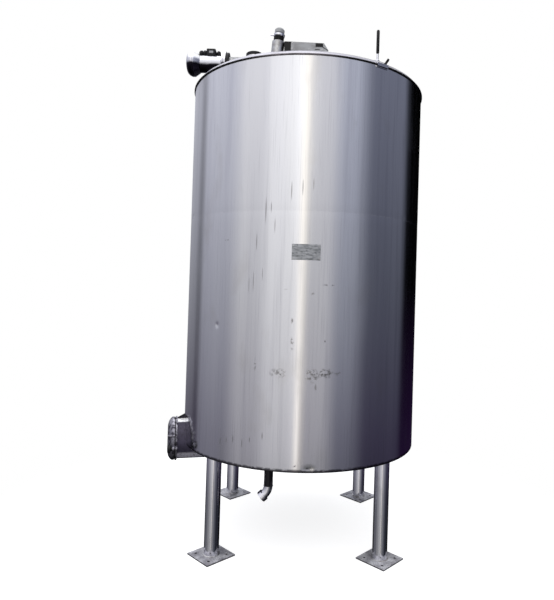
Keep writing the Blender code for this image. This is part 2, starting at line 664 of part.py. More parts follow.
def build_nameplate(root, paint):
    """A bare plate bent to the shell."""
    first = math.degrees(math.asin((PLATE_CENTRE_X - PLATE_WIDTH / 2) / RADIUS))
    last = math.degrees(math.asin((PLATE_CENTRE_X + PLATE_WIDTH / 2) / RADIUS))
    skin = RADIUS + GAP
    profile = [(skin, PLATE_LOW_Z), (skin + PLATE_THICK, PLATE_LOW_Z),
               (skin + PLATE_THICK, PLATE_HIGH_Z), (skin, PLATE_HIGH_Z)]
    add_object("nameplate", turned(profile, 6, 270.0 + first, last - first), root, paint["plate_sign"])


def build_drive(root, paint, envelope):
    """Stirrer drive: stand and right-angle gearbox on the roof, motor lying out over the rim."""
    inner = STAND_RADIUS - STAND_WALL
    tube = [(inner, ROOF_BLANK_Z), (STAND_RADIUS, ROOF_BLANK_Z), (STAND_RADIUS, GEARBOX_LOW_Z - GAP),
            (inner, GEARBOX_LOW_Z - GAP)]
    stand = add_object("drive_stand", placed(turned(tube, 24), Matrix.Translation((DRIVE_X, 0.0, 0.0))),
                       root, paint["cast"])
    cut(stand, envelope)
    gearbox = add_object("gearbox", block(
        (DRIVE_X - GEARBOX_HALF_X, -GEARBOX_HALF_Y, GEARBOX_LOW_Z),
        (DRIVE_X + GEARBOX_HALF_X, GEARBOX_HALF_Y, GEARBOX_TOP_Z)), root, paint["gearbox"])
    bevel(gearbox, GEARBOX_EDGE)

    at_axis = Matrix.Translation((0.0, 0.0, DRIVE_AXIS_Z))
    face = MOTOR_FACE_X
    flange_back = face - MOTOR_FLANGE_THICK
    flange = [(0.0, flange_back), (MOTOR_FLANGE_RADIUS, flange_back), (MOTOR_FLANGE_RADIUS, face),
              (0.0, face)]
    add_object("motor_flange", placed(turned(flange, 32, axis="X"), at_axis), root, paint["grip"])
    bell_start = flange_back - MOTOR_BELL_LENGTH
    bell_full = bell_start + MOTOR_BELL_RAMP
    cowl_end = MOTOR_END_X + MOTOR_COWL_LENGTH
    cowl_full = MOTOR_END_X + MOTOR_COWL_FULL_LENGTH
    body = [(0.0, cowl_end), (MOTOR_BODY_RADIUS, cowl_end), (MOTOR_BODY_RADIUS, bell_start),
            (MOTOR_BELL_RADIUS, bell_full), (MOTOR_BELL_RADIUS, flange_back - GAP),
            (0.0, flange_back - GAP)]
    add_object("motor_body", placed(turned(body, 32, axis="X"), at_axis), root, paint["stainless"])
    rounding = MOTOR_COWL_ROUND
    cowl = [(0.0, MOTOR_END_X), (MOTOR_COWL_RADIUS - rounding, MOTOR_END_X)]
    cowl += [(radius, height) for height, radius in reversed(
        arc((MOTOR_END_X + rounding, MOTOR_COWL_RADIUS - rounding), rounding, 90.0, 165.0, 4))]
    cowl += [(MOTOR_COWL_RADIUS, cowl_full), (MOTOR_BODY_RADIUS, cowl_end - GAP), (0.0, cowl_end - GAP)]
    add_object("motor_cowl", placed(turned(cowl, 32, axis="X"), at_axis), root, paint["stainless"])

    low = DRIVE_AXIS_Z + MOTOR_BODY_RADIUS - TERMINAL_SUNK
    left, right = TERMINAL_BOX_X
    shape = block((left, -TERMINAL_HALF_Y, low), (right, TERMINAL_HALF_Y, TERMINAL_TOP_Z))
    box = add_object("terminal_box", shape, root, paint["grip"])
    glands = []
    for start, end in GLAND_SPANS_X:
        gland = rod(GLAND_RADIUS, end - start, 20)
        place = Matrix.Translation((start, 0.0, TERMINAL_TOP_Z - GLAND_RADIUS - 0.001))
        glands.append(placed(gland, place @ Matrix.Rotation(math.radians(90.0), 4, "Y")))
    cut(box, add_cutter("terminal_gland_shapes", joined(glands), root), "UNION")
    skin = [(0.0, MOTOR_END_X - CUT_PAST), (MOTOR_COWL_RADIUS + 2 * GAP, MOTOR_END_X - CUT_PAST),
            (MOTOR_COWL_RADIUS + 2 * GAP, cowl_full + GAP), (MOTOR_BODY_RADIUS + GAP, cowl_end + GAP),
            (MOTOR_BODY_RADIUS + GAP, bell_start - GAP), (MOTOR_BELL_RADIUS + GAP, bell_full - GAP),
            (MOTOR_BELL_RADIUS + GAP, face), (0.0, face)]
    cut(box, add_cutter("motor_skin_cutter", placed(turned(skin, 32, axis="X"), at_axis), root))


def build_roof_fitting(root, paint, envelope):
    """Short fitting near the front rim: stem, dark collar, clamp ring and a cap that leans a little."""
    seat = make_empty("fitting_foot", (FITTING_X, FITTING_Y, FITTING_JOINT_Z), root)
    seat.rotation_euler = (0.0, FITTING_LEAN, 0.0)
    stem = [(0.0, -FITTING_STEM_DEPTH), (FITTING_RADIUS, -FITTING_STEM_DEPTH), (FITTING_RADIUS, -0.005),
            (FITTING_RADIUS * 0.8, -GAP), (0.0, -GAP)]
    cut(add_object("fitting_stem", turned(stem, 24), seat, paint["pipe"]), envelope)
    add_object("fitting_collar", turned(FITTING_COLLAR, 24), seat, paint["rubber"])
    clamp = add_object("fitting_clamp", turned(FITTING_CLAMP, 24), seat, paint["stainless"])
    radius, length, height = FITTING_SCREW
    screw = placed(rod(radius, length, 12), Matrix.Translation((-FITTING_CLAMP[1][0], 0.0, height))
                   @ Matrix.Rotation(math.radians(-90.0), 4, "Y"))
    cut(clamp, add_cutter("clamp_screw_shape", screw, seat), "UNION")
    add_object("fitting_cap", turned(FITTING_CAP, 24), seat, paint["enclosure"])


def build_housing(root, paint, envelope):
    """Long low instrument housing along the front rim, with a dark end piece."""
    depth = HOUSING_REAR_Y - HOUSING_FRONT_Y
    foot = ROOF_BLANK_Z
    turn = Matrix.Translation((0.0, HOUSING_REAR_Y, 0.0)) @ Matrix.Rotation(math.radians(90.0), 4, "X")
    main_shape = prism([(HOUSING_JOIN_X, foot), (HOUSING_RIGHT_FOOT_X, foot),
                        (HOUSING_RIGHT_FOOT_X, HOUSING_SLOPE_FOOT_Z),
                        (HOUSING_RIGHT_TOP_X, HOUSING_TOP_Z - 0.004),
                        (HOUSING_JOIN_X, HOUSING_TOP_Z)], depth)
    cut(add_object("instrument_housing", placed(main_shape, turn), root, paint["enclosure"]), envelope)
    end_shape = prism([(HOUSING_LEFT_X, foot), (HOUSING_JOIN_X - GAP, foot),
                       (HOUSING_JOIN_X - GAP, HOUSING_TOP_Z), (HOUSING_LEFT_X, HOUSING_TOP_Z)], depth)
    cut(add_object("instrument_end", placed(end_shape, turn), root, paint["grip"]), envelope)


def build_port(root, paint, envelope):
    """Low capped port left of the fitting."""
    at_port = Matrix.Translation((PORT_X, PORT_Y, 0.0))
    neck = [(0.0, ROOF_BLANK_Z), (PORT_NECK_RADIUS, ROOF_BLANK_Z),
            (PORT_NECK_RADIUS, PORT_CAP_LOW_Z - GAP), (0.0, PORT_CAP_LOW_Z - GAP)]
    cut(add_object("port_neck", placed(turned(neck, 24), at_port), root, paint["stainless"]), envelope)
    cap = [(0.0, PORT_CAP_LOW_Z), (PORT_CAP_RADIUS, PORT_CAP_LOW_Z),
           (PORT_CAP_RADIUS, PORT_CAP_HIGH_Z - PORT_CAP_EDGE),
           (PORT_CAP_RADIUS - PORT_CAP_EDGE, PORT_CAP_HIGH_Z),
           (0.0, PORT_CAP_HIGH_Z)]
    add_object("port_cap", placed(turned(cap, 24), at_port), root, paint["grip"])


def build_rim_rod(root, paint, envelope):
    """Upright black-sleeved rod and a slanted tab on a strap that is folded over the rim."""
    frame = make_empty("strap_frame", (0.0, 0.0, 0.0), root, math.radians(STRAP_AZIMUTH))
    blank = block((RADIUS - STRAP_REACH, -STRAP_HALF_WIDTH, STRAP_FOOT_Z),
                  (RADIUS + STRAP_BLANK_OUT, STRAP_HALF_WIDTH, BODY_TOP_Z + STRAP_BLANK_RISE))
    strap = add_object("rim_strap", blank, frame, paint["stainless"])
    cut(strap, tank_envelope(root, "strap_outer_shape", STRAP_THICK), "INTERSECT")
    cut(strap, envelope)

    on_strap = tank_envelope(root, "strap_envelope_cutter", STRAP_THICK + GAP)
    core = [(0.0, ROOF_BLANK_Z), (ROD_FOOT_RADIUS, ROOF_BLANK_Z), (ROD_FOOT_RADIUS, ROD_FOOT_TOP_Z),
            (ROD_CORE_RADIUS, ROD_FOOT_TOP_Z + ROD_FOOT_RAMP), (ROD_CORE_RADIUS, ROD_GRIP_LOW_Z - GAP),
            (0.0, ROD_GRIP_LOW_Z - GAP)]
    at_rod = Matrix.Translation((ROD_X, ROD_Y, 0.0))
    cut(add_object("rod_core", placed(turned(core, 16), at_rod), root, paint["pipe"]), on_strap)
    end = ROD_GRIP_RADIUS
    grip = [(0.0, ROD_GRIP_LOW_Z), (end * 0.7, ROD_GRIP_LOW_Z + end * 0.3),
            (end, ROD_GRIP_LOW_Z + end), (end, ROD_GRIP_HIGH_Z - end),
            (end * 0.7, ROD_GRIP_HIGH_Z - end * 0.3), (0.0, ROD_GRIP_HIGH_Z)]
    add_object("rod_grip", placed(turned(grip, 16), at_rod), root, paint["grip"])

    lean = Matrix.Rotation(TAB_LEAN, 4, "Y")
    tab = placed(block((-TAB_HALF_THICK, -TAB_HALF_WIDTH, -TAB_ROOT),
                       (TAB_HALF_THICK, TAB_HALF_WIDTH, TAB_LENGTH)),
                 Matrix.Translation((TAB_X, TAB_Y, TAB_Z)) @ lean)
    cut(add_object("rim_tab", tab, root, paint["grip"]), on_strap)


def main():
    clear_scene()
    paint = materials()
    root = make_empty("tank_axis", (AXIS_X, 0.0, 0.0))
    plates = build_shell(root, paint)
    bottom = build_heads(root, paint)
    build_legs(root, paint)
    frame, back_x = build_nozzle(root, paint, plates, bottom)
    build_cover(frame, paint, back_x)
    build_outlet(root, paint, bottom)
    build_nameplate(root, paint)
    envelope = tank_envelope(root, "tank_envelope_cutter", GAP)
    build_drive(root, paint, envelope)
    build_roof_fitting(root, paint, envelope)
    build_housing(root, paint, envelope)
    build_port(root, paint, envelope)
    build_rim_rod(root, paint, envelope)


main()
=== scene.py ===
# %% [markdown]
# # A stainless storage tank on four pipe legs
#
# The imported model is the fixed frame: every node in it has the right size and place. This lesson
# dresses that frame. It gives each node a real finish, swaps the plain shell plates for two rolled
# courses with the waves and dents of thin sheet, and adds the welds, bolts and small trim that a
# solid model leaves out. Units are metres, +Z is up and the front of the tank faces -Y.

# %% Load the frame
import json
import math

import bmesh
import bpy
from mathutils import Matrix, Vector


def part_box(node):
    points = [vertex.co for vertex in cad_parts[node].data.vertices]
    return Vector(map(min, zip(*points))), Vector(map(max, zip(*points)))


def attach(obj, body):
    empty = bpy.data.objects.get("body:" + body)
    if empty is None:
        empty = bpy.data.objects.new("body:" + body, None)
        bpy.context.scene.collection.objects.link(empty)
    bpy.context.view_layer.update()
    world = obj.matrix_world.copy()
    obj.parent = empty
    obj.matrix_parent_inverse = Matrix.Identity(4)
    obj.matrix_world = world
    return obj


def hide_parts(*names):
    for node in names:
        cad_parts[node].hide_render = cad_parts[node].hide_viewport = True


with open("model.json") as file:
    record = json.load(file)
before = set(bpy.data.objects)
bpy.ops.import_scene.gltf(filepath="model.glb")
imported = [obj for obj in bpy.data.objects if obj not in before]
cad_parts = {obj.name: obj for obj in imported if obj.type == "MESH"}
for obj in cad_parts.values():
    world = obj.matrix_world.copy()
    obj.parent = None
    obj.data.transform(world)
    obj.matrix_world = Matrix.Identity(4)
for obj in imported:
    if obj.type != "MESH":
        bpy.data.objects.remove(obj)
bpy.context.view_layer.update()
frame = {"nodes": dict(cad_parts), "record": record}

NODES = frame["nodes"]
AXIS_X = 0.046
RADIUS = 0.762
MM = 0.001
print("nodes loaded:", len(NODES))

# %% [markdown]
# ## A few small helpers
#
# A shader tree and a geometry tree are built the same way, so one function adds a node with its
# settings and its inputs. An input is a fixed value, a socket, or a node, which stands for its
# first output. The kinds and settings that come up often have short names. The other helpers turn
# a web colour into the linear colour that shaders want, put an object in the scene, and start and
# end a geometry tree. A tree ends in real geometry with its finish, because the export drops
# instances.

# %% Helpers
MATH, VECTOR_MATH, SPREAD = "ShaderNodeMath", "ShaderNodeVectorMath", "ShaderNodeMapRange"
SPLIT, COMBINE, MIX = "ShaderNodeSeparateXYZ", "ShaderNodeCombineXYZ", "ShaderNodeMix"
ADD, SUBTRACT, MULTIPLY, DIVIDE, MULTIPLY_ADD, MAXIMUM, SCALE, ABSOLUTE, DEGREES = (
    {"operation": name} for name in ("ADD", "SUBTRACT", "MULTIPLY", "DIVIDE", "MULTIPLY_ADD",
                                     "MAXIMUM", "SCALE", "ABSOLUTE", "DEGREES"))
SMOOTH = {"interpolation_type": "SMOOTHSTEP"}


def add_node(tree, kind, settings=None, inputs=()):
    """Add one node; inputs is a list in the node's order, or a dictionary by name or number."""
    node = tree.nodes.new(kind)
    for name, value in (settings or {}).items():
        setattr(node, name, value)
    for name, value in inputs.items() if isinstance(inputs, dict) else enumerate(inputs):
        if isinstance(value, bpy.types.Node):
            value = value.outputs[0]
        if isinstance(value, bpy.types.NodeSocket):
            tree.links.new(value, node.inputs[name])
        else:
            node.inputs[name].default_value = value
    return node


def linear(code):
    """Linear RGBA of an sRGB hex colour."""
    parts = [int(code[i:i + 2], 16) / 255 for i in (0, 2, 4)]
    lit = [c / 12.92 if c <= 0.04045 else ((c + 0.055) / 1.055) ** 2.4 for c in parts]
    return (*lit, 1.0)


def new_object(name, data):
    made = bpy.data.objects.new(name, data)
    bpy.context.scene.collection.objects.link(made)
    return made


def geometry_tree(name, sizes):
    """A geometry tree with a mesh in, a mesh out and named inputs; returns its ends."""
    tree = bpy.data.node_groups.new(name, "GeometryNodeTree")
    tree.interface.new_socket("Mesh", in_out="INPUT", socket_type="NodeSocketGeometry")
    for label, kind in sizes.items():
        tree.interface.new_socket(label, in_out="INPUT", socket_type="NodeSocket" + kind)
    tree.interface.new_socket("Mesh", in_out="OUTPUT", socket_type="NodeSocketGeometry")
    return tree, add_node(tree, "NodeGroupInput"), add_node(tree, "NodeGroupOutput")


def end_tree(tree, start, end, shape):
    """Make a tree's shape real geometry, give it its finish and hand it over."""
    real = add_node(tree, "GeometryNodeRealizeInstances", {}, [shape])
    finish = add_node(tree, "GeometryNodeSetMaterial", {},
                      {"Geometry": real, "Material": start.outputs["Finish"]})
    tree.links.new(finish.outputs[0], end.inputs[0])
    return tree


# %% [markdown]
# ## The camera
#
# The photograph was taken from about 3 m in front of the tank, with the lens at eye height. The
# camera looks up a little and is rolled by less than two degrees, and the small shift puts the
# tank where the photograph has it.

# %% Camera
CAMERA_AT = Vector((AXIS_X, -3.668268, 1.570482))
CAMERA_PITCH = math.radians(0.78)
CAMERA_ROLL = math.radians(1.75)
CAMERA_LENS_MM = 32.025
CAMERA_SHIFT = (-0.0425, -0.026)


def make_camera():
    forward = Vector((0.0, math.cos(CAMERA_PITCH), math.sin(CAMERA_PITCH)))
    right = Vector((1.0, 0.0, 0.0))
    up = right.cross(forward)
    across = right * math.cos(CAMERA_ROLL) + up * math.sin(CAMERA_ROLL)
    above = up * math.cos(CAMERA_ROLL) - right * math.sin(CAMERA_ROLL)
    data = bpy.data.cameras.new("camera")
    data.lens = CAMERA_LENS_MM
    data.sensor_width = 36.0
    data.shift_x, data.shift_y = CAMERA_SHIFT
    camera = new_object("camera", data)
    turn = Matrix((across, above, -forward)).transposed().to_4x4()
    camera.matrix_world = Matrix.Translation(CAMERA_AT) @ turn
    bpy.context.scene.camera = camera


make_camera()
bpy.context.scene.view_settings.view_transform = "Standard"
print("camera at", tuple(CAMERA_AT))

# %% [markdown]
# ## Studio light
#
# Polished sheet shows what stands round it, so the light is a closed ring of large soft panels.
# Each one is full between two compass bearings (0 is towards the viewer, + is to the right), fades
# into its neighbours, and is brighter high up than near the ground. The strengths were set against
# the photograph. The panel in the middle ends sharply on its right, which draws the bright strip
# down the tank, and a gap at the right draws the black edge. A soft overhead light whitens what
# faces up, and a faint violet haze lies low down. The world shader adds it all up, so the light has
# no noise. The viewer sees plain white behind the tank.

# %% World
GREY_WHITE, PALE_WHITE, PLAIN_WHITE = "f0f2ff", "fbfbff", "fefeff"
WARM_WHITE, COOL_WHITE, DUSK_BLUE = "fffaf0", "eaefff", "dbe2ff"
SOFT_PANELS = [
    # full from, full to, strength near the ground, strength high up, tint
    (-200.0, -178.0, 0.40, 0.90, COOL_WHITE),    # behind the tank, for the rear views
    (-160.0, -131.0, 0.09, 0.70, GREY_WHITE),
    (-123.0, -120.0, 0.03, 0.45, GREY_WHITE),    # a dim gap, for the dark line on the left
    (-112.0, -80.0, 0.25, 0.90, GREY_WHITE),
    (-55.0, -45.0, 0.45, 1.10, PALE_WHITE),
    (-28.0, -12.0, 0.70, 1.40, PLAIN_WHITE),
    (-7.0, -5.0, 0.80, 1.60, PLAIN_WHITE),
    (-3.0, -1.0, 1.60, 1.70, WARM_WHITE),        # the bright strip
    (1.5, 2.0, 0.60, 1.55, WARM_WHITE),
    (5.0, 20.0, 0.45, 1.00, PALE_WHITE),
    (38.0, 44.0, 0.20, 0.80, COOL_WHITE),
    (68.0, 108.0, 0.05, 0.29, DUSK_BLUE),
    (120.0, 168.0, 0.0, 0.0, DUSK_BLUE),         # left unlit, for the black right edge
    (178.0, 200.0, 0.40, 0.90, COOL_WHITE),
]
HAZE = (0.016, 0.006, 0.030)
HAZE_TOP = 1.0
LOW_ELEVATION, HIGH_ELEVATION = -16.0, 22.0
UNDER_FROM, UNDER_FULL, UNDER_SHARE = -17.5, -21.0, 0.60
GROUND_DARK_FROM, GROUND_DARK_TO, GROUND_SHARE = -28.0, -55.0, 0.45
OVERHEAD_FROM, OVERHEAD_FULL, OVERHEAD_STRENGTH = 30.0, 50.0, 0.95


def make_world():
    world = bpy.data.worlds.new("soft_panels")
    bpy.context.scene.world = world
    world.use_nodes = True
    tree = world.node_tree
    tree.nodes.clear()
    where = add_node(tree, "ShaderNodeTexCoord")
    split = add_node(tree, SPLIT, {}, [where.outputs["Generated"]])
    toward = add_node(tree, MATH, MULTIPLY, [split.outputs["Y"], -1.0])
    turn = add_node(tree, MATH, {"operation": "ARCTAN2"}, [split.outputs["X"], toward])
    bearing = add_node(tree, MATH, DEGREES, [turn])
    slope = add_node(tree, MATH, {"operation": "ARCSINE"}, [split.outputs["Z"]])
    rise = add_node(tree, MATH, DEGREES, [slope])
    high = add_node(tree, SPREAD, {}, [rise, LOW_ELEVATION, HIGH_ELEVATION])
    under = add_node(tree, SPREAD, {}, [rise, UNDER_FROM, UNDER_FULL])
    total = (0.0, 0.0, 0.0)
    for index, (start, end, near_ground, high_up, tint) in enumerate(SOFT_PANELS):
        before = SOFT_PANELS[index - 1][1] if index else start - 1.0
        after = SOFT_PANELS[index + 1][0] if index + 1 < len(SOFT_PANELS) else end + 1.0
        rising = add_node(tree, SPREAD, SMOOTH, [bearing, before, start])
        falling = add_node(tree, SPREAD, SMOOTH, [bearing, after, end])
        window = add_node(tree, MATH, MULTIPLY, [rising, falling])
        power = add_node(tree, SPREAD, {}, [high, 0.0, 1.0, near_ground, high_up])
        glow = add_node(tree, MATH, MULTIPLY, [window, power])
        colour = add_node(tree, VECTOR_MATH, SCALE, {0: linear(tint)[:3], "Scale": glow})
        total = add_node(tree, VECTOR_MATH, ADD, [total, colour])
    misty = add_node(tree, SPREAD, {}, [rise, HAZE_TOP, LOW_ELEVATION])
    misty = add_node(tree, MATH, SUBTRACT, [misty, under])
    haze = add_node(tree, VECTOR_MATH, SCALE, {0: HAZE, "Scale": misty})
    total = add_node(tree, VECTOR_MATH, ADD, [total, haze])
    dimmed = add_node(tree, SPREAD, {}, [under, 0.0, 1.0, 1.0, UNDER_SHARE])
    total = add_node(tree, VECTOR_MATH, SCALE, {0: total, "Scale": dimmed})
    ground = add_node(tree, SPREAD, {}, [rise, GROUND_DARK_FROM, GROUND_DARK_TO, 1.0, GROUND_SHARE])
    total = add_node(tree, VECTOR_MATH, SCALE, {0: total, "Scale": ground})
    above = add_node(tree, SPREAD, SMOOTH,
                     [rise, OVERHEAD_FROM, OVERHEAD_FULL, 0.0, OVERHEAD_STRENGTH])
    total = add_node(tree, VECTOR_MATH, ADD, [total, above])
    panels = add_node(tree, "ShaderNodeBackground", {}, [total])
    white = add_node(tree, "ShaderNodeBackground", {}, [(1.0, 1.0, 1.0, 1.0)])
    path = add_node(tree, "ShaderNodeLightPath")
    seen = add_node(tree, "ShaderNodeMixShader", {}, [path.outputs["Is Camera Ray"], panels, white])
    add_node(tree, "ShaderNodeOutputWorld", {}, [seen])


make_world()
print("soft panels:", len(SOFT_PANELS))

# %% [markdown]
# ## The floor
#
# A pale round floor, so that the base plates have something to stand on and throw a soft shadow.
# Its edge fades out, so no line shows where it ends. Reflections look through it at the panels, so
# the legs keep their bright middle and dark sides.

# %% Floor
FLOOR_RADIUS = 2.2
FLOOR_FADE_FROM = 1.5
FLOOR_GLOW = 0.78


def floor_material():
    material = bpy.data.materials.new("pale_floor")
    material.use_nodes = True
    tree = material.node_tree
    tree.nodes.clear()
    place = add_node(tree, "ShaderNodeTexCoord").outputs["Object"]
    grain = add_node(tree, "ShaderNodeTexNoise", {}, {"Vector": place, "Scale": 9.0, "Detail": 6.0})
    far = add_node(tree, VECTOR_MATH, {"operation": "LENGTH"}, [place]).outputs["Value"]
    fade = add_node(tree, SPREAD, SMOOTH, [far, FLOOR_FADE_FROM, FLOOR_RADIUS - 0.02])
    tone = add_node(tree, SPREAD, {}, [grain, 0.0, 1.0, 0.52, 0.56])
    matt = add_node(tree, "ShaderNodeBsdfDiffuse", {}, [tone])
    lift = add_node(tree, "ShaderNodeEmission", {}, [(1.0, 1.0, 1.0, 1.0), FLOOR_GLOW])
    pale = add_node(tree, "ShaderNodeAddShader", {}, [matt, lift])
    dim = add_node(tree, "ShaderNodeBsdfDiffuse", {}, [linear("86868c")])
    clear = add_node(tree, "ShaderNodeBsdfTransparent")
    path = add_node(tree, "ShaderNodeLightPath").outputs
    dim = add_node(tree, "ShaderNodeMixShader", {}, [path["Is Glossy Ray"], dim, clear])
    seen = add_node(tree, "ShaderNodeMixShader", {}, [path["Is Camera Ray"], dim, pale])
    seen = add_node(tree, "ShaderNodeMixShader", {}, [fade, seen, clear])
    add_node(tree, "ShaderNodeOutputMaterial", {}, [seen])
    return material


def make_floor():
    builder = bmesh.new()
    bmesh.ops.create_circle(builder, cap_ends=True, segments=96, radius=FLOOR_RADIUS)
    bmesh.ops.translate(builder, verts=builder.verts, vec=(0.0, 0.0, -0.5 * MM))
    mesh = bpy.data.meshes.new("studio_floor")
    builder.to_mesh(mesh)
    builder.free()
    mesh.materials.append(floor_material())
    new_object("studio_floor", mesh)


make_floor()
print("floor radius:", FLOOR_RADIUS)

# %% [markdown]
# ## How the finishes are made
#
# A finish is a few noise patterns, each with the size of a real grain, stain or dent in
# millimetres. Every pattern may tint the colour, roughen the gloss and raise a very small bump. The
# grain of a rolled sheet is under 0.1 mm, which no picture from here can show, so its finest
# streaks are drawn 6 mm wide. Patterns are read from the object's own coordinates. The last helper
# here makes a whole finish from lists of such layers, and most of the tank's finishes need no more.

# %% Base of every finish
def start_finish(name, metallic, colour):
    """A new material with its one shader; returns the material, tree, shader and coordinates."""
    material = bpy.data.materials.new(name)
    material.use_nodes = True
    tree = material.node_tree
    shader = tree.nodes["Principled BSDF"]
    shader.inputs["Base Color"].default_value = linear(colour)
    shader.inputs["Metallic"].default_value = metallic
    return material, tree, shader, add_node(tree, "ShaderNodeTexCoord").outputs["Object"]


def grains(tree, place, size, detail, offset=(0.0, 0.0, 0.0)):
    """Noise whose grains measure size (x, y, z), or size all ways, in millimetres."""
    sizes = size if isinstance(size, tuple) else (size, size, size)
    mapping = add_node(tree, "ShaderNodeMapping", {}, {
        "Vector": place, "Scale": tuple(1.0 / (s * MM) for s in sizes), "Location": offset})
    noise = add_node(tree, "ShaderNodeTexNoise", {},
                     {"Vector": mapping, "Scale": 1.0, "Detail": detail})
    return noise.outputs[0]


def tint(tree, shader, colour, layers):
    """Lay tints over a colour; each is (pattern, from, to, share at its fullest, tint)."""
    tone = linear(colour)
    for pattern, low, high, share, shade in layers:
        part = add_node(tree, SPREAD, {}, [pattern, low, high, 0.0, share])
        mixed = add_node(tree, MIX, {"data_type": "RGBA"}, {0: part, 6: tone, 7: linear(shade)})
        tone = mixed.outputs[2]
    tree.links.new(tone, shader.inputs["Base Color"])


def roughen(tree, shader, layers):
    """Add up roughness; each layer is (pattern, from, to, roughness from, roughness to)."""
    rough = 0.0
    for layer in layers:
        part = add_node(tree, SPREAD, {}, layer)
        rough = add_node(tree, MATH, ADD, [rough, part])
    tree.links.new(rough.outputs[0], shader.inputs["Roughness"])


def bump(tree, shader, layers):
    """Chain bumps; each is (pattern, depth in millimetres, strength)."""
    below = {}
    for pattern, depth, strength in layers:
        raised = add_node(tree, "ShaderNodeBump", {}, {
            "Height": pattern, "Distance": depth * MM, "Strength": strength, **below})
        below = {"Normal": raised}
    tree.links.new(raised.outputs[0], shader.inputs["Normal"])


def layered_finish(name, metallic, colour, patterns, tints, rough, bumps=(), specular=None):
    """A finish from lists; a layer names one of its patterns, or height."""
    material, tree, shader, place = start_finish(name, metallic, colour)
    if specular is not None:
        shader.inputs["Specular IOR Level"].default_value = specular
    made = {"height": add_node(tree, SPLIT, {}, [place]).outputs["Z"]}
    for label, pattern in patterns.items():
        made[label] = grains(tree, place, *pattern)
    tint(tree, shader, colour, [(made[layer[0]], *layer[1:]) for layer in tints])
    roughen(tree, shader, [(made[layer[0]], *layer[1:]) for layer in rough])
    if bumps:
        bump(tree, shader, [(made[layer[0]], *layer[1:]) for layer in bumps])
    return material


# %% [markdown]
# ## Rolled sheet for the shell
#
# The shell is 3 mm stainless with a 2B mill finish that has been wiped, scuffed and rained on for
# years. Cold rolling draws the grain out lengthways, and it stands upright on the tank: seen from a
# few metres it shows as long soft streaks, sharp along the ring and smeared up and down. On top
# come a few marks that the photograph shows at known places: rubbed patches half way up, a few
# smudges near the foot and thin scratches. Below an uneven line at the foot the sheet is painted
# near-black, a painted shade under the shell's edge. A mark is placed by its bearing on the shell
# and its height, so the material turns Object coordinates into a distance round the shell and a height.

# %% Shell finish
def shell_place(tree, place):
    """Distance round the shell from its front, to the right, and height, both in metres."""
    split = add_node(tree, SPLIT, {}, [place])
    across = add_node(tree, MATH, SUBTRACT, [split.outputs["X"], AXIS_X])
    toward = add_node(tree, MATH, MULTIPLY, [split.outputs["Y"], -1.0])
    turn = add_node(tree, MATH, {"operation": "ARCTAN2"}, [across, toward])
    return add_node(tree, MATH, MULTIPLY, [turn, RADIUS]), split.outputs["Z"]


def oval_mark(tree, shell, bearing, at_z, half_wide, half_high, core):
    """1 in the core of an oval mark on the shell, fading to 0 at its edge."""
    far = 0.0
    middle = (math.radians(bearing) * RADIUS, at_z)
    for along, centre, half in zip(shell, middle, (half_wide, half_high)):
        off = add_node(tree, MATH, SUBTRACT, [along, centre])
        off = add_node(tree, MATH, DIVIDE, [off, half])
        far = add_node(tree, MATH, MULTIPLY_ADD, [off, off, far])
    return add_node(tree, SPREAD, {}, [far, 1.0, core * core])


# rubbed patches: bearing, height, half width, half height, darkness
SMUDGES = [
    (-9.0, 1.122, 0.055, 0.030, 0.55),
    (5.0, 1.115, 0.045, 0.045, 0.75),
    (10.5, 1.128, 0.060, 0.030, 0.85),
    (16.0, 1.128, 0.022, 0.013, 1.0),
    (-3.5, 1.30, 0.012, 0.060, 0.55),
    (-3.8, 1.41, 0.008, 0.030, 0.6),
    (4.3, 1.56, 0.014, 0.010, 0.7),
    (-6.6, 1.585, 0.013, 0.010, 0.6),
    (10.8, 1.61, 0.040, 0.006, 0.7),
    (-1.2, 0.6246, 0.012, 0.009, 0.9),
    (5.0, 0.614, 0.030, 0.010, 1.0),
    (6.6, 1.045, 0.008, 0.030, 0.5),
    (10.0, 1.30, 0.006, 0.014, 0.6),
    (-19.0, 1.16, 0.008, 0.050, 0.5),
]
# thin upright scratches: bearing, height, half width, half height
SCRATCHES = [
    (-16.3, 2.015, 0.0022, 0.085),
    (-14.0, 2.03, 0.0018, 0.035),
    (-12.2, 1.93, 0.0015, 0.050),
    (-20.0, 1.84, 0.0020, 0.060),
    (-21.0, 1.62, 0.0016, 0.070),
    (-23.0, 1.60, 0.0012, 0.055),
    (-17.0, 1.66, 0.0012, 0.045),
    (-5.6, 2.12, 0.0020, 0.060),
    (-1.0, 2.14, 0.0016, 0.050),
    (3.4, 2.16, 0.0016, 0.040),
    (-35.4, 0.707, 0.0020, 0.030),
    (-32.0, 0.720, 0.0016, 0.022),
    (-28.5, 0.735, 0.0020, 0.026),
    (-24.0, 0.720, 0.0016, 0.030),
    (-20.5, 0.745, 0.0018, 0.020),
    (-14.9, 0.774, 0.0020, 0.024),
    (-34.6, 1.852, 0.0030, 0.006),
    (-36.0, 1.852, 0.0024, 0.004),
]
# A scratch is drawn this much wider than the real one, so that it shows at this distance
SCRATCH_SPREAD = 1.8


def shell_marks(tree, shell, rubbed):
    """How dull each place is from the rubbed patches and scratches, 0 to 1."""
    marks = 0.0
    for *spot, dark in SMUDGES:
        mark = oval_mark(tree, shell, *spot, core=0.2)
        mark = add_node(tree, MATH, MULTIPLY, [mark, dark])
        marks = add_node(tree, MATH, MAXIMUM, [mark, marks])
    marks = add_node(tree, MATH, MULTIPLY, [marks, rubbed])
    lines = 0.0
    for bearing, at_z, half_wide, half_high in SCRATCHES:
        line = oval_mark(tree, shell, bearing, at_z, SCRATCH_SPREAD * half_wide, half_high, core=0.3)
        lines = add_node(tree, MATH, MAXIMUM, [line, lines])
    lines = add_node(tree, MATH, MULTIPLY, [lines, 0.6])
    return add_node(tree, MATH, MAXIMUM, [marks, lines])


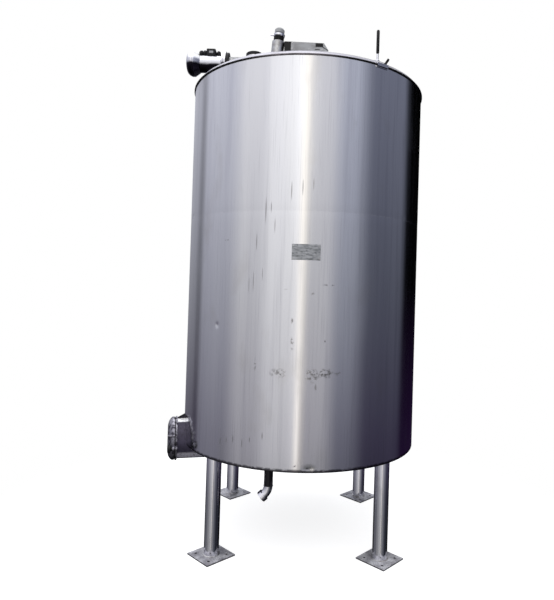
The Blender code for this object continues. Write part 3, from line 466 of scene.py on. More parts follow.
def rolled_sheet():
    """2B stainless sheet: a soft mirror, streaked upright, dull where it was rubbed, near-black below its
    foot as painted shade.
    """
    material, tree, shader, place = start_finish("rolled_2b_stainless_sheet", 1.0, "cbcbd0")
    broad = grains(tree, place, (160, 160, 3000), 2.0)
    medium = grains(tree, place, (40, 40, 1300), 3.0, (3.1, 1.7, 0.4))
    fine = grains(tree, place, (6, 6, 350), 4.0, (7.7, 2.9, 1.3))
    blotch = grains(tree, place, (160, 160, 300), 5.0, (1.0, 4.0, 2.0))
    ripple = grains(tree, place, (50, 50, 220), 2.0, (6.0, 3.0, 8.0))
    rubbed = grains(tree, place, 18, 6.0, (9.0, 2.0, 5.0))
    rubbed = add_node(tree, SPREAD, {}, [rubbed, 0.46, 0.60])
    shell = shell_place(tree, place)
    dull = shell_marks(tree, shell, rubbed)
    # The sheet turns near-black below this uneven line at its foot: painted shade under the shell's edge.
    foot = add_node(tree, MATH, MULTIPLY_ADD, [rubbed, 0.005, shell[1]])
    tint(tree, shader, "cbcbd0", [
        (broad, 0.35, 0.65, 1.0, "d5d5d8"), (medium, 0.55, 0.75, 0.30, "a4a4ac"),
        (blotch, 0.58, 0.75, 0.25, "b4b0aa"), (fine, 0.56, 0.80, 0.30, "98989f"),
        (foot, 0.608, 0.598, 0.9, "242028"), (dull, 0.0, 1.0, 1.0, "4a4744")])
    roughen(tree, shader, [
        (medium, 0.3, 0.7, 0.12, 0.17), (fine, 0.45, 0.8, 0.0, 0.06),
        (blotch, 0.5, 0.8, 0.0, 0.08), (dull, 0.0, 1.0, 0.0, 0.35)])
    bump(tree, shader, [
        (broad, 0.10, 0.4), (ripple, 0.10, 0.5), (medium, 0.06, 0.4), (fine, 0.03, 0.4)])
    return material


# %% [markdown]
# ## The other finishes
#
# Drawn pipe is smoother along its length than sheet. Pickled plate is grey and blotchy from acid
# and floor water. Cast and machined stainless is matt with a fine grain. Rubber, moulded plastic
# and enamel are not metals: their gloss comes from a low or high roughness over a flat pigment,
# with dust in the hollows. Some finishes lay tints over the height first: on the nozzle, its cover
# and the motor these are painted light and shade. Each function says what its surface gives the eye.

# %% Metal finishes
def drawn_pipe():
    """Cold drawn pipe: bright, with fine long lines and a few dull water stains."""
    return layered_finish(
        "drawn_stainless_pipe", 1.0, "dedee4",
        {"lines": ((4, 4, 300), 3.0), "stain": ((50, 50, 120), 5.0, (2.0, 5.0, 1.0))},
        tints=[("stain", 0.54, 0.76, 0.35, "9a9698")],
        rough=[("lines", 0.3, 0.7, 0.10, 0.16), ("stain", 0.5, 0.8, 0.0, 0.10)],
        bumps=[("lines", 0.02, 0.5)])


def pickled_plate():
    """Acid pickled plate: pale and dark grey clouds, dark specks, and a black lower edge."""
    return layered_finish(
        "pickled_stainless_plate", 0.3, "8e8c92",
        {"cloud": (60, 7.0), "speck": (8, 4.0, (1.0, 2.0, 3.0))},
        tints=[("cloud", 0.38, 0.62, 1.0, "d4d4d8"), ("speck", 0.55, 0.70, 0.9, "4e4a4e"),
               ("height", 0.0074, 0.0066, 0.85, "1c1a1e")],
        rough=[("cloud", 0.3, 0.7, 0.34, 0.62)],
        bumps=[("cloud", 0.6, 0.5), ("speck", 0.2, 0.5)])


def stained_nozzle_sheet():
    """Near-black nozzle sheet with drip stains, banded by height: a painted highlight along its top, a
    painted reflection low down and painted shade between.
    """
    # Tints by height over the near-black sheet: the pale band low down is a painted reflection, the dark
    # grey bands up the sides are painted shade, and the white strip near the top is a painted highlight. The
    # drips are stains.
    return layered_finish(
        "drip_stained_nozzle_sheet", 0.6, "0c0b10",
        {"drip": ((12, 12, 50), 5.0, (3.0, 8.0, 4.0))},
        tints=[("height", 0.490, 0.495, 1.0, "f0ecf6"), ("height", 0.524, 0.540, 1.0, "4c475a"),
               ("height", 0.600, 0.650, 1.0, "3a3644"), ("height", 0.712, 0.717, 1.0, "ffffff"),
               ("height", 0.7263, 0.7275, 1.0, "1c1a24"), ("drip", 0.52, 0.72, 0.6, "2c2834")],
        rough=[("drip", 0.3, 0.7, 0.32, 0.5)])


def mottled_cover_metal():
    """Cast cover and flange with dark pits: near-black at the foot, grey above and pale at the top, painted
    shade and light by height.
    """
    # The tints by height are painted shade at the foot and painted light at the top; the pits are the
    # metal's own.
    return layered_finish(
        "mottled_cast_cover", 0.9, "1a1820", {"pit": ((20, 20, 26), 5.0, (6.0, 2.0, 4.0))},
        tints=[("height", 0.488, 0.520, 1.0, "84828b"), ("height", 0.690, 0.715, 1.0, "b4b2ba"),
               ("pit", 0.44, 0.60, 0.9, "302d38")],
        rough=[("pit", 0.3, 0.7, 0.32, 0.6)], bumps=[("pit", 0.8, 0.5)])


def machined_cast():
    """Cast and machined stainless: matt, fine grained, with brownish stains."""
    return layered_finish(
        "machined_cast_stainless", 1.0, "b6b6b8",
        {"grain": (2.2, 3.0), "stain": (35, 5.0, (4.0, 0.0, 2.0))},
        tints=[("stain", 0.48, 0.72, 0.7, "7c7670")],
        rough=[("stain", 0.3, 0.7, 0.28, 0.46)], bumps=[("grain", 0.08, 0.5)])


def weld_metal():
    """A bead melted in by hand: bright, with straw and brown heat tints."""
    return layered_finish(
        "tig_weld_bead", 1.0, "c8c8c8", {"heat": (20, 4.0)},
        tints=[("heat", 0.42, 0.68, 1.0, "918b88")], rough=[("heat", 0.3, 0.7, 0.24, 0.42)])


def dusty_roof_sheet():
    """Roof sheet under a thin film of grey dust, which takes its shine away in soft clouds."""
    return layered_finish(
        "dusty_stainless_roof_sheet", 0.8, "b5b3ba", {"film": (110, 6.0, (2.0, 6.0, 3.0))},
        tints=[("film", 0.32, 0.68, 1.0, "c8c7ce")],
        rough=[("film", 0.3, 0.7, 0.32, 0.44)], bumps=[("film", 0.1, 0.3)])


def blackened_pipe():
    """Outlet pipe under the tank: near-black as painted shade, with paler drip marks."""
    # The near-black base colour is painted shade under the tank; the paler drips are stains.
    return layered_finish(
        "drip_blackened_pipe", 0.5, "131118", {"drip": ((10, 10, 50), 5.0, (1.0, 7.0, 2.0))},
        tints=[("drip", 0.56, 0.74, 1.0, "7a7680")], rough=[("drip", 0.3, 0.7, 0.3, 0.5)])


def etched_sign_plate():
    """A bare etched plate, weathered to grey with dark flakes."""
    return layered_finish(
        "worn_bare_sign_plate", 0.6, "74777a",
        {"patch": ((50, 50, 10), 5.0), "flake": ((16, 16, 7), 3.0, (3.0, 3.0, 3.0))},
        tints=[("patch", 0.30, 0.68, 1.0, "b6b8bc"), ("flake", 0.54, 0.66, 0.55, "34363a")],
        rough=[("patch", 0.3, 0.7, 0.38, 0.60)], bumps=[("flake", 0.15, 0.5)])


def sooted_motor_sheet():
    """Polished motor housing: near-black below its axis and white above, painted shade underneath and
    painted light on top.
    """
    material, tree, shader, place = start_finish("sooted_polished_housing", 1.0, "1e1b24")
    dust = grains(tree, place, (30, 30, 20), 5.0, (3.0, 1.0, 4.0))
    height = add_node(tree, SPLIT, {}, [place]).outputs["Z"]
    uneven = add_node(tree, SPREAD, {}, [dust, 0.3, 0.7, -0.004, 0.004])
    height = add_node(tree, MATH, ADD, [height, uneven])
    # Painted shade and light by height: near-black under the axis, pale grey and then white above it. The
    # dust noise only makes that line uneven and sets the roughness.
    tint(tree, shader, "1e1b24", [
        (height, 3.098, 3.112, 1.0, "c8c8d0"), (height, 3.125, 3.150, 1.0, "f6f6f8")])
    roughen(tree, shader, [(dust, 0.3, 0.7, 0.16, 0.32)])
    return material


# %% Rubber, plastic and paint
def nitrile_rubber():
    """Moulded rubber: black and dull, with grey dust."""
    return layered_finish(
        "nitrile_rubber", 0.0, "0c0c0e", {"dust": (12, 6.0)}, specular=0.2,
        tints=[("dust", 0.58, 0.80, 0.4, "2a2828")],
        rough=[("dust", 0.3, 0.7, 0.52, 0.74)], bumps=[("dust", 0.3, 0.4)])


def black_nylon():
    """Injection moulded nylon: black, a little glossier than rubber, finely grained."""
    return layered_finish(
        "moulded_black_nylon", 0.0, "0c0c0e",
        {"grain": (1.5, 2.0), "dust": (30, 6.0, (2.0, 2.0, 2.0))}, specular=0.25,
        tints=[("dust", 0.55, 0.80, 0.5, "2e2c2c")],
        rough=[("dust", 0.3, 0.7, 0.34, 0.52)], bumps=[("grain", 0.10, 0.4)])


def machine_enamel():
    """Sprayed enamel: smooth pale grey with a slight orange peel, and dirt."""
    return layered_finish(
        "grey_machine_enamel", 0.0, "b4b6b8",
        {"peel": (4, 2.0), "dirt": ((30, 30, 50), 6.0, (5.0, 1.0, 1.0))},
        tints=[("dirt", 0.50, 0.75, 0.7, "6e6c68")],
        rough=[("dirt", 0.3, 0.8, 0.26, 0.55)], bumps=[("peel", 0.10, 0.5)])


def enclosure_paint():
    """Powder coat on a folded enclosure: even grey, finely pebbled, dusty."""
    return layered_finish(
        "grey_powder_coated_enclosure", 0.0, "a6a8aa",
        {"speckle": (3, 3.0), "dirt": ((50, 50, 30), 6.0, (1.0, 6.0, 3.0))},
        tints=[("dirt", 0.45, 0.72, 0.7, "777473")],
        rough=[("dirt", 0.3, 0.8, 0.30, 0.55)], bumps=[("speckle", 0.08, 0.5)])


def worn_edge_seal():
    """Black rim bead, lighter grey along the middle of its front: a painted highlight."""
    material, tree, shader, place = start_finish("worn_black_edge_seal", 0.0, "0e0e10")
    shader.inputs["Specular IOR Level"].default_value = 0.2
    rub = grains(tree, place, (30, 30, 10), 4.0, (5.0, 3.0, 1.0))
    # The grey along the middle of the front is a painted highlight, broken up by the noise, which also sets
    # the roughness.
    across = add_node(tree, SPLIT, {}, [place]).outputs["X"]
    across = add_node(tree, MATH, ADD, [across, 0.02])
    across = add_node(tree, MATH, ABSOLUTE, [across])
    worn = add_node(tree, SPREAD, {}, [across, 0.26, 0.10])
    patchy = add_node(tree, SPREAD, {}, [rub, 0.30, 0.55, 0.35, 1.0])
    worn = add_node(tree, MATH, MULTIPLY, [worn, patchy])
    tint(tree, shader, "0e0e10", [(worn, 0.0, 1.0, 1.0, "8a8488")])
    roughen(tree, shader, [(rub, 0.3, 0.7, 0.45, 0.7)])
    return material


# %% One of each finish
SHEET, PIPE, PLATE, CAST, WELD = rolled_sheet(), drawn_pipe(), pickled_plate(), machined_cast(), weld_metal()
RUBBER, NYLON, ENAMEL = nitrile_rubber(), black_nylon(), machine_enamel()
SIGN, ENCLOSURE, EDGE_SEAL = etched_sign_plate(), enclosure_paint(), worn_edge_seal()
ROOF_SHEET, BLACKENED_PIPE, MOTOR_SHEET = dusty_roof_sheet(), blackened_pipe(), sooted_motor_sheet()
NOZZLE_SHEET, COVER_METAL = stained_nozzle_sheet(), mottled_cover_metal()
FINISH_OF_SLOT = {
    "stainless_sheet": SHEET, "stainless_pipe": PIPE, "weathered_plate": PLATE,
    "cast_stainless": CAST, "black_rubber": RUBBER, "black_plastic": NYLON, "grey_paint": ENAMEL,
    "etched_plate": SIGN, "grey_enclosure": ENCLOSURE,
}
FINISH_OF_NODE = {
    "nozzle_neck": NOZZLE_SHEET, "nozzle_gusset": NOZZLE_SHEET, "cover": COVER_METAL,
    "nozzle_flange": COVER_METAL, "fitting_stem": CAST, "fitting_clamp": PIPE,
    "outlet_stub": BLACKENED_PIPE, "top_rim_bead": EDGE_SEAL, "roof_head": ROOF_SHEET,
}
print("slots with a finish:", len(FINISH_OF_SLOT), "nodes with their own:", len(FINISH_OF_NODE))

# %% [markdown]
# ## Finishing the carried-over nodes
#
# Each node keeps its mesh. Its slot says which finish it gets. A weld modifier joins its loose
# triangles, and a small geometry tree then drops the stored normals, shades it smooth and marks
# as sharp each edge that turns by more than 32 degrees.

# %% Dress the nodes
SHARP_FROM = math.radians(32.0)


def smoothing_tree():
    tree, start, end = geometry_tree("smooth_by_angle", {})
    plain = add_node(tree, "GeometryNodeRemoveAttribute", {},
                     {"Geometry": start.outputs["Mesh"], "Name": "custom_normal"})
    smooth = add_node(tree, "GeometryNodeSetShadeSmooth", {"domain": "FACE"},
                      {"Geometry": plain, "Shade Smooth": True})
    bend = add_node(tree, "GeometryNodeInputMeshEdgeAngle").outputs["Unsigned Angle"]
    soft = add_node(tree, "FunctionNodeCompare", {"operation": "LESS_THAN"},
                    {"A": bend, "B": SHARP_FROM})
    edges = add_node(tree, "GeometryNodeSetShadeSmooth", {"domain": "EDGE"},
                     {"Geometry": smooth, "Shade Smooth": soft})
    tree.links.new(edges.outputs[0], end.inputs[0])
    return tree


SMOOTHING = smoothing_tree()
slot_of_node = {row["node"]: row["material_slot"] for row in frame["record"]["subparts"]}
for name, node in NODES.items():
    node.material_slots[0].material = FINISH_OF_NODE.get(name, FINISH_OF_SLOT[slot_of_node[name]])
    join = node.modifiers.new("join_triangles", "WELD")
    join.merge_threshold = 1e-5
    shade = node.modifiers.new("smooth_by_angle", "NODES")
    shade.node_group = SMOOTHING
print("nodes dressed:", len(slot_of_node))

# %% [markdown]
# ## Making plain pieces
#
# A finished piece is a plain mesh at the origin. `finish_piece` turns a built mesh into an object
# with its finish, hangs it on the tank's body and hides the nodes that it replaces.
# Modifiers and geometry trees are run on a carrier object, which is then thrown away.

# %% Piece helpers
def finish_piece(name, mesh, material, replaced=(), sharp=32.0):
    mesh.name = name
    mesh.materials.clear()
    mesh.materials.append(material)
    mesh.shade_smooth()
    mesh.set_sharp_from_angle(angle=math.radians(sharp))
    piece = new_object(name, mesh)
    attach(piece, "tank")
    if replaced:
        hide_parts(*replaced)
    print(name, "faces:", len(mesh.polygons))


def plain_mesh(carrier):
    """The plain mesh that a carrier's modifiers make; the carrier itself goes."""
    shown = carrier.evaluated_get(bpy.context.evaluated_depsgraph_get())
    made = bpy.data.meshes.new_from_object(shown)
    bpy.data.objects.remove(carrier)
    return made


def run_tree(tree, mesh, inputs):
    """Run a geometry tree on a mesh and hand back the plain mesh that it makes."""
    carrier = new_object("carrier", mesh)
    modifier = carrier.modifiers.new("tree", "NODES")
    modifier.node_group = tree
    for item in tree.interface.items_tree:
        if item.in_out == "INPUT" and item.name in inputs:
            modifier[item.identifier] = inputs[item.name]
    return plain_mesh(carrier)


# %% [markdown]
# ## The two shell courses
#
# Each course is one sheet rolled into a ring. Its shape follows a rule, so a geometry tree makes
# it: a grid is bent round the axis and pushed in and out by a wide, low noise (thin sheet always
# has some oil-canning), and the sheet is drawn in by half a millimetre beside the welded girth
# seam. A solidify modifier gives it its 3 mm, the nozzle's hole is cut, and the few dents that the
# photograph shows are pressed in where the mesh has been made finer.

# %% The tree of a course
# The noise is stretched round and up the shell, and all but its peaks push the sheet inwards
WAVE_STRETCH = (1.6, 1.6, 0.55)
WAVE_PEAK = 0.9
SEAM_REACH = 0.035


def course_tree():
    tree, start, end = geometry_tree("rolled_course", {
        "Radius": "Float", "Foot": "Float", "Height": "Float", "Steps": "Int", "Rows": "Int",
        "Wave": "Float", "Seam Height": "Float", "Seam Draw": "Float", "Finish": "Material"})
    given = start.outputs
    grid = add_node(tree, "GeometryNodeMeshGrid", {}, [1.0, 1.0, given["Steps"], given["Rows"]])
    split = add_node(tree, SPLIT, {}, [add_node(tree, "GeometryNodeInputPosition")]).outputs
    turn = add_node(tree, MATH, MULTIPLY_ADD, [split["X"], 2.0 * math.pi, math.pi])
    rise = add_node(tree, MATH, ADD, [split["Y"], 0.5])
    height = add_node(tree, MATH, MULTIPLY_ADD, [rise, given["Height"], given["Foot"]])
    cosine = add_node(tree, MATH, {"operation": "COSINE"}, [turn])
    sine = add_node(tree, MATH, {"operation": "SINE"}, [turn])
    around = add_node(tree, COMBINE, {}, [cosine, sine, height])
    drawn_out = add_node(tree, VECTOR_MATH, MULTIPLY, [around, WAVE_STRETCH])
    wave = add_node(tree, "ShaderNodeTexNoise", {}, {"Vector": drawn_out, "Scale": 1.0, "Detail": 2.0})
    wave = add_node(tree, MATH, SUBTRACT, [wave, WAVE_PEAK])
    wave = add_node(tree, MATH, MULTIPLY, [wave, given["Wave"]])
    away = add_node(tree, MATH, SUBTRACT, [height, given["Seam Height"]])
    away = add_node(tree, MATH, ABSOLUTE, [away])
    draw = add_node(tree, SPREAD, SMOOTH, [away, SEAM_REACH, 0.0])
    draw = add_node(tree, MATH, MULTIPLY, [draw, given["Seam Draw"]])
    radius = add_node(tree, MATH, ADD, [given["Radius"], wave])
    radius = add_node(tree, MATH, SUBTRACT, [radius, draw])
    x = add_node(tree, MATH, MULTIPLY_ADD, [cosine, radius, AXIS_X])
    y = add_node(tree, MATH, MULTIPLY, [sine, radius])
    bent = add_node(tree, COMBINE, {}, [x, y, height])
    ring = add_node(tree, "GeometryNodeSetPosition", {}, {"Geometry": grid, "Position": bent})
    closed = add_node(tree, "GeometryNodeMergeByDistance", {}, {"Geometry": ring, "Distance": 1e-5})
    return end_tree(tree, start, end, closed)


COURSE = course_tree()
print("nodes in the course's tree:", len(COURSE.nodes))

# %% Dents
# bearing, height, half width, half height, depth
DENTS = [
    (-39.6, 1.363, 0.012, 0.014, 0.0040),
    (-67.4, 2.026, 0.030, 0.012, 0.0030),
    (50.5, 2.027, 0.030, 0.014, 0.0004),
    (5.0, 0.606, 0.022, 0.014, 0.0045),
    (-26.0, 1.00, 0.060, 0.160, 0.0010),
    (24.0, 1.45, 0.080, 0.120, 0.0008),
]
# A dent narrower than this gets a finer mesh round it first
SMALL_DENT = 0.035


def shell_point(bearing, height, radius=RADIUS):
    """A point on the shell by its bearing from the front, to the right, in degrees."""
    turn = math.radians(bearing)
    return Vector((AXIS_X + radius * math.sin(turn), -radius * math.cos(turn), height))


def press_dents(mesh):
    """Push each dent in with a soft round profile."""
    builder = bmesh.new()
    builder.from_mesh(mesh)
    axis = Vector((AXIS_X, 0.0, 0.0))
    for bearing, height, half_wide, half_high, depth in DENTS:
        centre = shell_point(bearing, height)
        widest = max(half_wide, half_high)
        for _ in range(2 if half_wide < SMALL_DENT else 0):
            near = [e for e in builder.edges
                    if all((v.co - centre).length < 2.6 * widest + 0.02 for v in e.verts)]
            if near:
                bmesh.ops.subdivide_edges(builder, edges=near, cuts=1, use_grid_fill=True)
        for vertex in builder.verts:
            offset = vertex.co - centre
            if offset.length > 3.0 * widest:
                continue
            flat = Vector((vertex.co.x, vertex.co.y, 0.0)) - axis
            side = flat.angle(Vector((centre.x, centre.y, 0.0)) - axis, 0.0) * RADIUS
            fall = math.exp(-(side / half_wide) ** 2 - (offset.z / half_high) ** 2)
            vertex.co -= flat.normalized() * depth * fall
    builder.to_mesh(mesh)
    builder.free()


print("dents:", len(DENTS))

# %% Shell courses
SHELL_WALL = 0.003
SEAM_Z = 2.015
# Each course stops this far from the seam's middle
SEAM_HALF_GAP = 0.0002
COURSE_STEPS = 288
LOWER_ROWS, UPPER_ROWS = 72, 44
# The nozzle's own frame: +Z runs out along it, and +X is up
NOZZLE_OUTER = 0.127
NOZZLE_Z = 0.599
NOZZLE_TURN = math.radians(194.0)
outward = Vector((math.cos(NOZZLE_TURN), math.sin(NOZZLE_TURN), 0.0))
upward = Vector((0.0, 0.0, 1.0))
NOZZLE_FRAME = Matrix((upward, outward.cross(upward), outward)).transposed().to_4x4()
NOZZLE_FRAME = Matrix.Translation((AXIS_X, 0.0, NOZZLE_Z)) @ NOZZLE_FRAME
HOLE_CLEARANCE, HOLE_CUT_LENGTH, HOLE_CUT_MIDDLE = 0.0003, 0.5, 0.85


def nozzle_hole():
    """A cylinder along the clean-out nozzle, 0.3 mm clear of it, to cut its hole."""
    builder = bmesh.new()
    radius = NOZZLE_OUTER + HOLE_CLEARANCE
    bmesh.ops.create_cone(builder, cap_ends=True, segments=96, radius1=radius, radius2=radius,
                          depth=HOLE_CUT_LENGTH)
    bmesh.ops.transform(builder, verts=builder.verts,
                        matrix=NOZZLE_FRAME @ Matrix.Translation((0.0, 0.0, HOLE_CUT_MIDDLE)))
    mesh = bpy.data.meshes.new("nozzle_hole")
    builder.to_mesh(mesh)
    builder.free()
    return new_object("nozzle_hole", mesh)


def make_course(name, foot, top, rows, replaced, cutter=None):
    mesh = run_tree(COURSE, bpy.data.meshes.new("grid"), {
        "Radius": RADIUS, "Foot": foot, "Height": top - foot, "Steps": COURSE_STEPS + 1, "Rows": rows,
        "Wave": 0.5 * MM, "Seam Height": SEAM_Z, "Seam Draw": 0.5 * MM, "Finish": SHEET})
    builder = bmesh.new()
    builder.from_mesh(mesh)
    bmesh.ops.recalc_face_normals(builder, faces=builder.faces)
    builder.faces.ensure_lookup_table()
    middle = builder.faces[0].calc_center_median()
    if builder.faces[0].normal.dot(middle - Vector((AXIS_X, 0.0, middle.z))) < 0:
        bmesh.ops.reverse_faces(builder, faces=builder.faces)
    builder.to_mesh(mesh)
    builder.free()
    press_dents(mesh)
    carrier = new_object("carrier", mesh)
    wall = carrier.modifiers.new("wall", "SOLIDIFY")
    wall.thickness = SHELL_WALL
    wall.offset = -1.0
    if cutter is not None:
        hole = carrier.modifiers.new("hole", "BOOLEAN")
        hole.object = cutter
        hole.solver = "EXACT"
    finish_piece(name, plain_mesh(carrier), SHEET, replaced)


sides = ("front", "left", "back", "right")
hole_cutter = nozzle_hole()
make_course("lower_course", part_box("shell_lower_front")[0].z, SEAM_Z - SEAM_HALF_GAP, LOWER_ROWS,
            ["shell_lower_" + s for s in sides], hole_cutter)
bpy.data.objects.remove(hole_cutter)
make_course("upper_course", SEAM_Z + SEAM_HALF_GAP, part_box("shell_upper_front")[1].z, UPPER_ROWS,
            ["shell_upper_" + s for s in sides])

# %% [markdown]
# ## Weld beads
#
# A weld is a row of small overlapping pools. One geometry tree turns any chain of edges into a
# curve and places a flattened ball every few millimetres along it. The girth seam is planished
# nearly flat, the welds at the legs and the nozzle stand prouder.

# %% Weld tree
def weld_tree():
    tree, start, end = geometry_tree("weld_bead", {
        "Bead Radius": "Float", "Pool Spacing": "Float", "Flatness": "Float", "Seed": "Int",
        "Finish": "Material"})
    given = start.outputs
    path = add_node(tree, "GeometryNodeMeshToCurve", {}, {"Mesh": given["Mesh"]})
    even = add_node(tree, "GeometryNodeResampleCurve", {"mode": "LENGTH"},
                    {"Curve": path, "Length": given["Pool Spacing"]})
    pool = add_node(tree, "GeometryNodeMeshUVSphere", {},
                    {"Segments": 8, "Rings": 5, "Radius": given["Bead Radius"]})
    lay = add_node(tree, "GeometryNodeInputTangent")
    aim = add_node(tree, "FunctionNodeAlignEulerToVector", {"axis": "X"}, {"Vector": lay})
    size = add_node(tree, "FunctionNodeRandomValue", {"data_type": "FLOAT"},
                    {2: 0.85, 3: 1.1, "Seed": given["Seed"]}).outputs[1]
    scale = add_node(tree, COMBINE, {}, [size, size, given["Flatness"]])
    row = add_node(tree, "GeometryNodeInstanceOnPoints", {},
                   {"Points": even, "Instance": pool, "Rotation": aim, "Scale": scale})
    return end_tree(tree, start, end, row)


def chain_mesh(chains):
    """A mesh of edge chains; each is a list of points and whether it closes."""
    mesh = bpy.data.meshes.new("chains")
    points, edges = [], []
    for chain, closed in chains:
        start = len(points)
        points += [tuple(p) for p in chain]
        edges += [(start + i, start + i + 1) for i in range(len(chain) - 1)]
        if closed:
            edges.append((start + len(chain) - 1, start))
    mesh.from_pydata(points, edges, [])
    return mesh


def ring_points(matrix, radius, steps, height=0.0):
    """Points of a circle in a frame's XY plane."""
    turns = [2.0 * math.pi * i / steps for i in range(steps)]
    return [matrix @ Vector((radius * math.cos(a), radius * math.sin(a), height)) for a in turns]


def upright_axis(node, height=0.0):
    """A frame on a node's upright middle line."""
    low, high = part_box(node)
    return Matrix.Translation(((low.x + high.x) / 2, (low.y + high.y) / 2, height))


def weld(name, chains, bead, spacing, flatness, seed, finish):
    mesh = run_tree(WELD_BEAD, chain_mesh(chains), {
        "Bead Radius": bead, "Pool Spacing": spacing, "Flatness": flatness, "Seed": seed,
        "Finish": finish})
    finish_piece(name, mesh, finish, sharp=60.0)


WELD_BEAD = weld_tree()

# %% Welds at the legs and the outlet
LEG_NAMES = ("front_left", "front_right", "rear_right", "rear_left")
LEG_OUTER = 0.04445
PLATE_TOP_Z = 0.008
BOTTOM_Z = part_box("bottom_head")[0].z
OUTLET_JOINT_Z = 0.462


def leg_rings(height):
    return [(ring_points(upright_axis("leg_" + n), LEG_OUTER + MM, 48, height), True)
            for n in LEG_NAMES]


weld("leg_foot_welds", leg_rings(PLATE_TOP_Z + MM), bead=0.0042, spacing=0.0045, flatness=0.8, seed=3,
     finish=WELD)
weld("leg_top_welds", leg_rings(BOTTOM_Z - MM), bead=0.0040, spacing=0.0045, flatness=0.8, seed=4,
     finish=WELD)
stub_low, stub_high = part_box("outlet_stub")
stub_radius = (stub_high.x - stub_low.x) / 2
stub_axis = upright_axis("outlet_stub")
weld("outlet_welds", [
    (ring_points(stub_axis, stub_radius + 0.5 * MM, 36, BOTTOM_Z - MM), True),
    (ring_points(stub_axis, stub_radius + 0.1 * MM, 36, OUTLET_JOINT_Z), True)],
    bead=0.0022, spacing=0.0028, flatness=0.8, seed=5, finish=BLACKENED_PIPE)

# %% Welds at the nozzle and the girth seam
NOZZLE_FLANGE_OUT = 0.808
GUSSET_FOOT_OUT = (0.764, 0.806)
GUSSET_HALF = 0.0035


def nozzle_joint(steps=96):
    """Where the nozzle meets the shell above the shell's foot."""
    points = []
    for index in range(steps + 1):
        angle = -0.5 * math.pi + math.pi * index / steps
        side = NOZZLE_OUTER * math.sin(angle)
        out = math.sqrt(RADIUS ** 2 - side ** 2)
        points.append(NOZZLE_FRAME @ Vector((NOZZLE_OUTER * math.cos(angle), side, out)))
    return points


weld("nozzle_weld", [(nozzle_joint(), False)], bead=0.0018, spacing=0.0026, flatness=1.0, seed=6,
     finish=NOZZLE_SHEET)
seam_ring = [shell_point(360.0 * i / 240, SEAM_Z, RADIUS - 3.0 * MM) for i in range(240)]
weld("girth_weld", [(seam_ring, True)], bead=0.0024, spacing=0.0036, flatness=0.9, seed=7, finish=SHEET)
flange_ring = ring_points(NOZZLE_FRAME, NOZZLE_OUTER + 0.5 * MM, 120, NOZZLE_FLANGE_OUT - 0.5 * MM)
near_out, far_out = GUSSET_FOOT_OUT
gusset_foot = [NOZZLE_FRAME @ Vector((NOZZLE_OUTER + MM, side, out))
               for side, out in ((-GUSSET_HALF, far_out), (-GUSSET_HALF, near_out),
                                 (GUSSET_HALF, near_out), (GUSSET_HALF, far_out))]
weld("nozzle_flange_weld", [(flange_ring, True), (gusset_foot, False)], bead=0.0026, spacing=0.0034,
     flatness=0.9, seed=8, finish=NOZZLE_SHEET)

# %% [markdown]
# ## Bolts, screws and rivets
#
# All of them are a head on a washer that points along a given way. One tree takes a cloud of
# points, each with an `aim`, and places the same head on every point. The sizes are inputs, so the
# tree makes M8 bolts and 3 mm rivets alike.

# %% Fastener tree
def fastener_tree():
    tree, start, end = geometry_tree("fasteners", {
        "Head Radius": "Float", "Head Height": "Float", "Sides": "Int", "Washer Radius": "Float",
        "Washer Height": "Float", "Finish": "Material"})
    given = start.outputs
    both = add_node(tree, "GeometryNodeJoinGeometry")
    for radius, depth, sides, below in (
            (given["Head Radius"], given["Head Height"], given["Sides"], given["Washer Height"]),
            (given["Washer Radius"], given["Washer Height"], 20, 0.0)):
        drum = add_node(tree, "GeometryNodeMeshCylinder", {},
                        {"Vertices": sides, "Side Segments": 1, "Radius": radius, "Depth": depth})
        middle = add_node(tree, MATH, MULTIPLY_ADD, [depth, 0.5, below])
        lift = add_node(tree, COMBINE, {}, {2: middle})
        raised = add_node(tree, "GeometryNodeTransform", {}, {"Geometry": drum, "Translation": lift})
        tree.links.new(raised.outputs[0], both.inputs[0])
    cloud = add_node(tree, "GeometryNodeMeshToPoints", {}, {"Mesh": given["Mesh"]})
    aim = add_node(tree, "GeometryNodeInputNamedAttribute", {"data_type": "FLOAT_VECTOR"},
                   {"Name": "aim"})
    turn = add_node(tree, "FunctionNodeAlignEulerToVector", {"axis": "Z"}, {"Vector": aim})
    placed = add_node(tree, "GeometryNodeInstanceOnPoints", {},
                      {"Points": cloud, "Instance": both, "Rotation": turn})
    return end_tree(tree, start, end, placed)


def fasten(name, spots, head, washer, sides):
    """spots: (point, aim); head and washer: (radius, height) in metres."""
    mesh = bpy.data.meshes.new("spots")
    mesh.from_pydata([tuple(p) for p, _ in spots], [], [])
    aims = mesh.attributes.new("aim", "FLOAT_VECTOR", "POINT")
    for index, (_, aim) in enumerate(spots):
        aims.data[index].vector = aim
    made = run_tree(FASTENERS, mesh, {
        "Head Radius": head[0], "Head Height": head[1], "Sides": sides,
        "Washer Radius": washer[0], "Washer Height": washer[1], "Finish": CAST})
    finish_piece(name, made, CAST)


FASTENERS = fastener_tree()

# %% Place the fasteners
RIGHT, FRONT, BACK = Vector((1.0, 0.0, 0.0)), Vector((0.0, -1.0, 0.0)), Vector((0.0, 1.0, 0.0))
GEAR_BOLT_INSET = 0.022
GEAR_END_BOLT_Y = 0.040
RIVET_INSET = 0.008
HOUSING_SCREW_INSETS = (0.007, 0.100, 0.034)
HOUSING_SCREW_RISE, HOUSING_SCREW_DROP = 0.024, 0.007

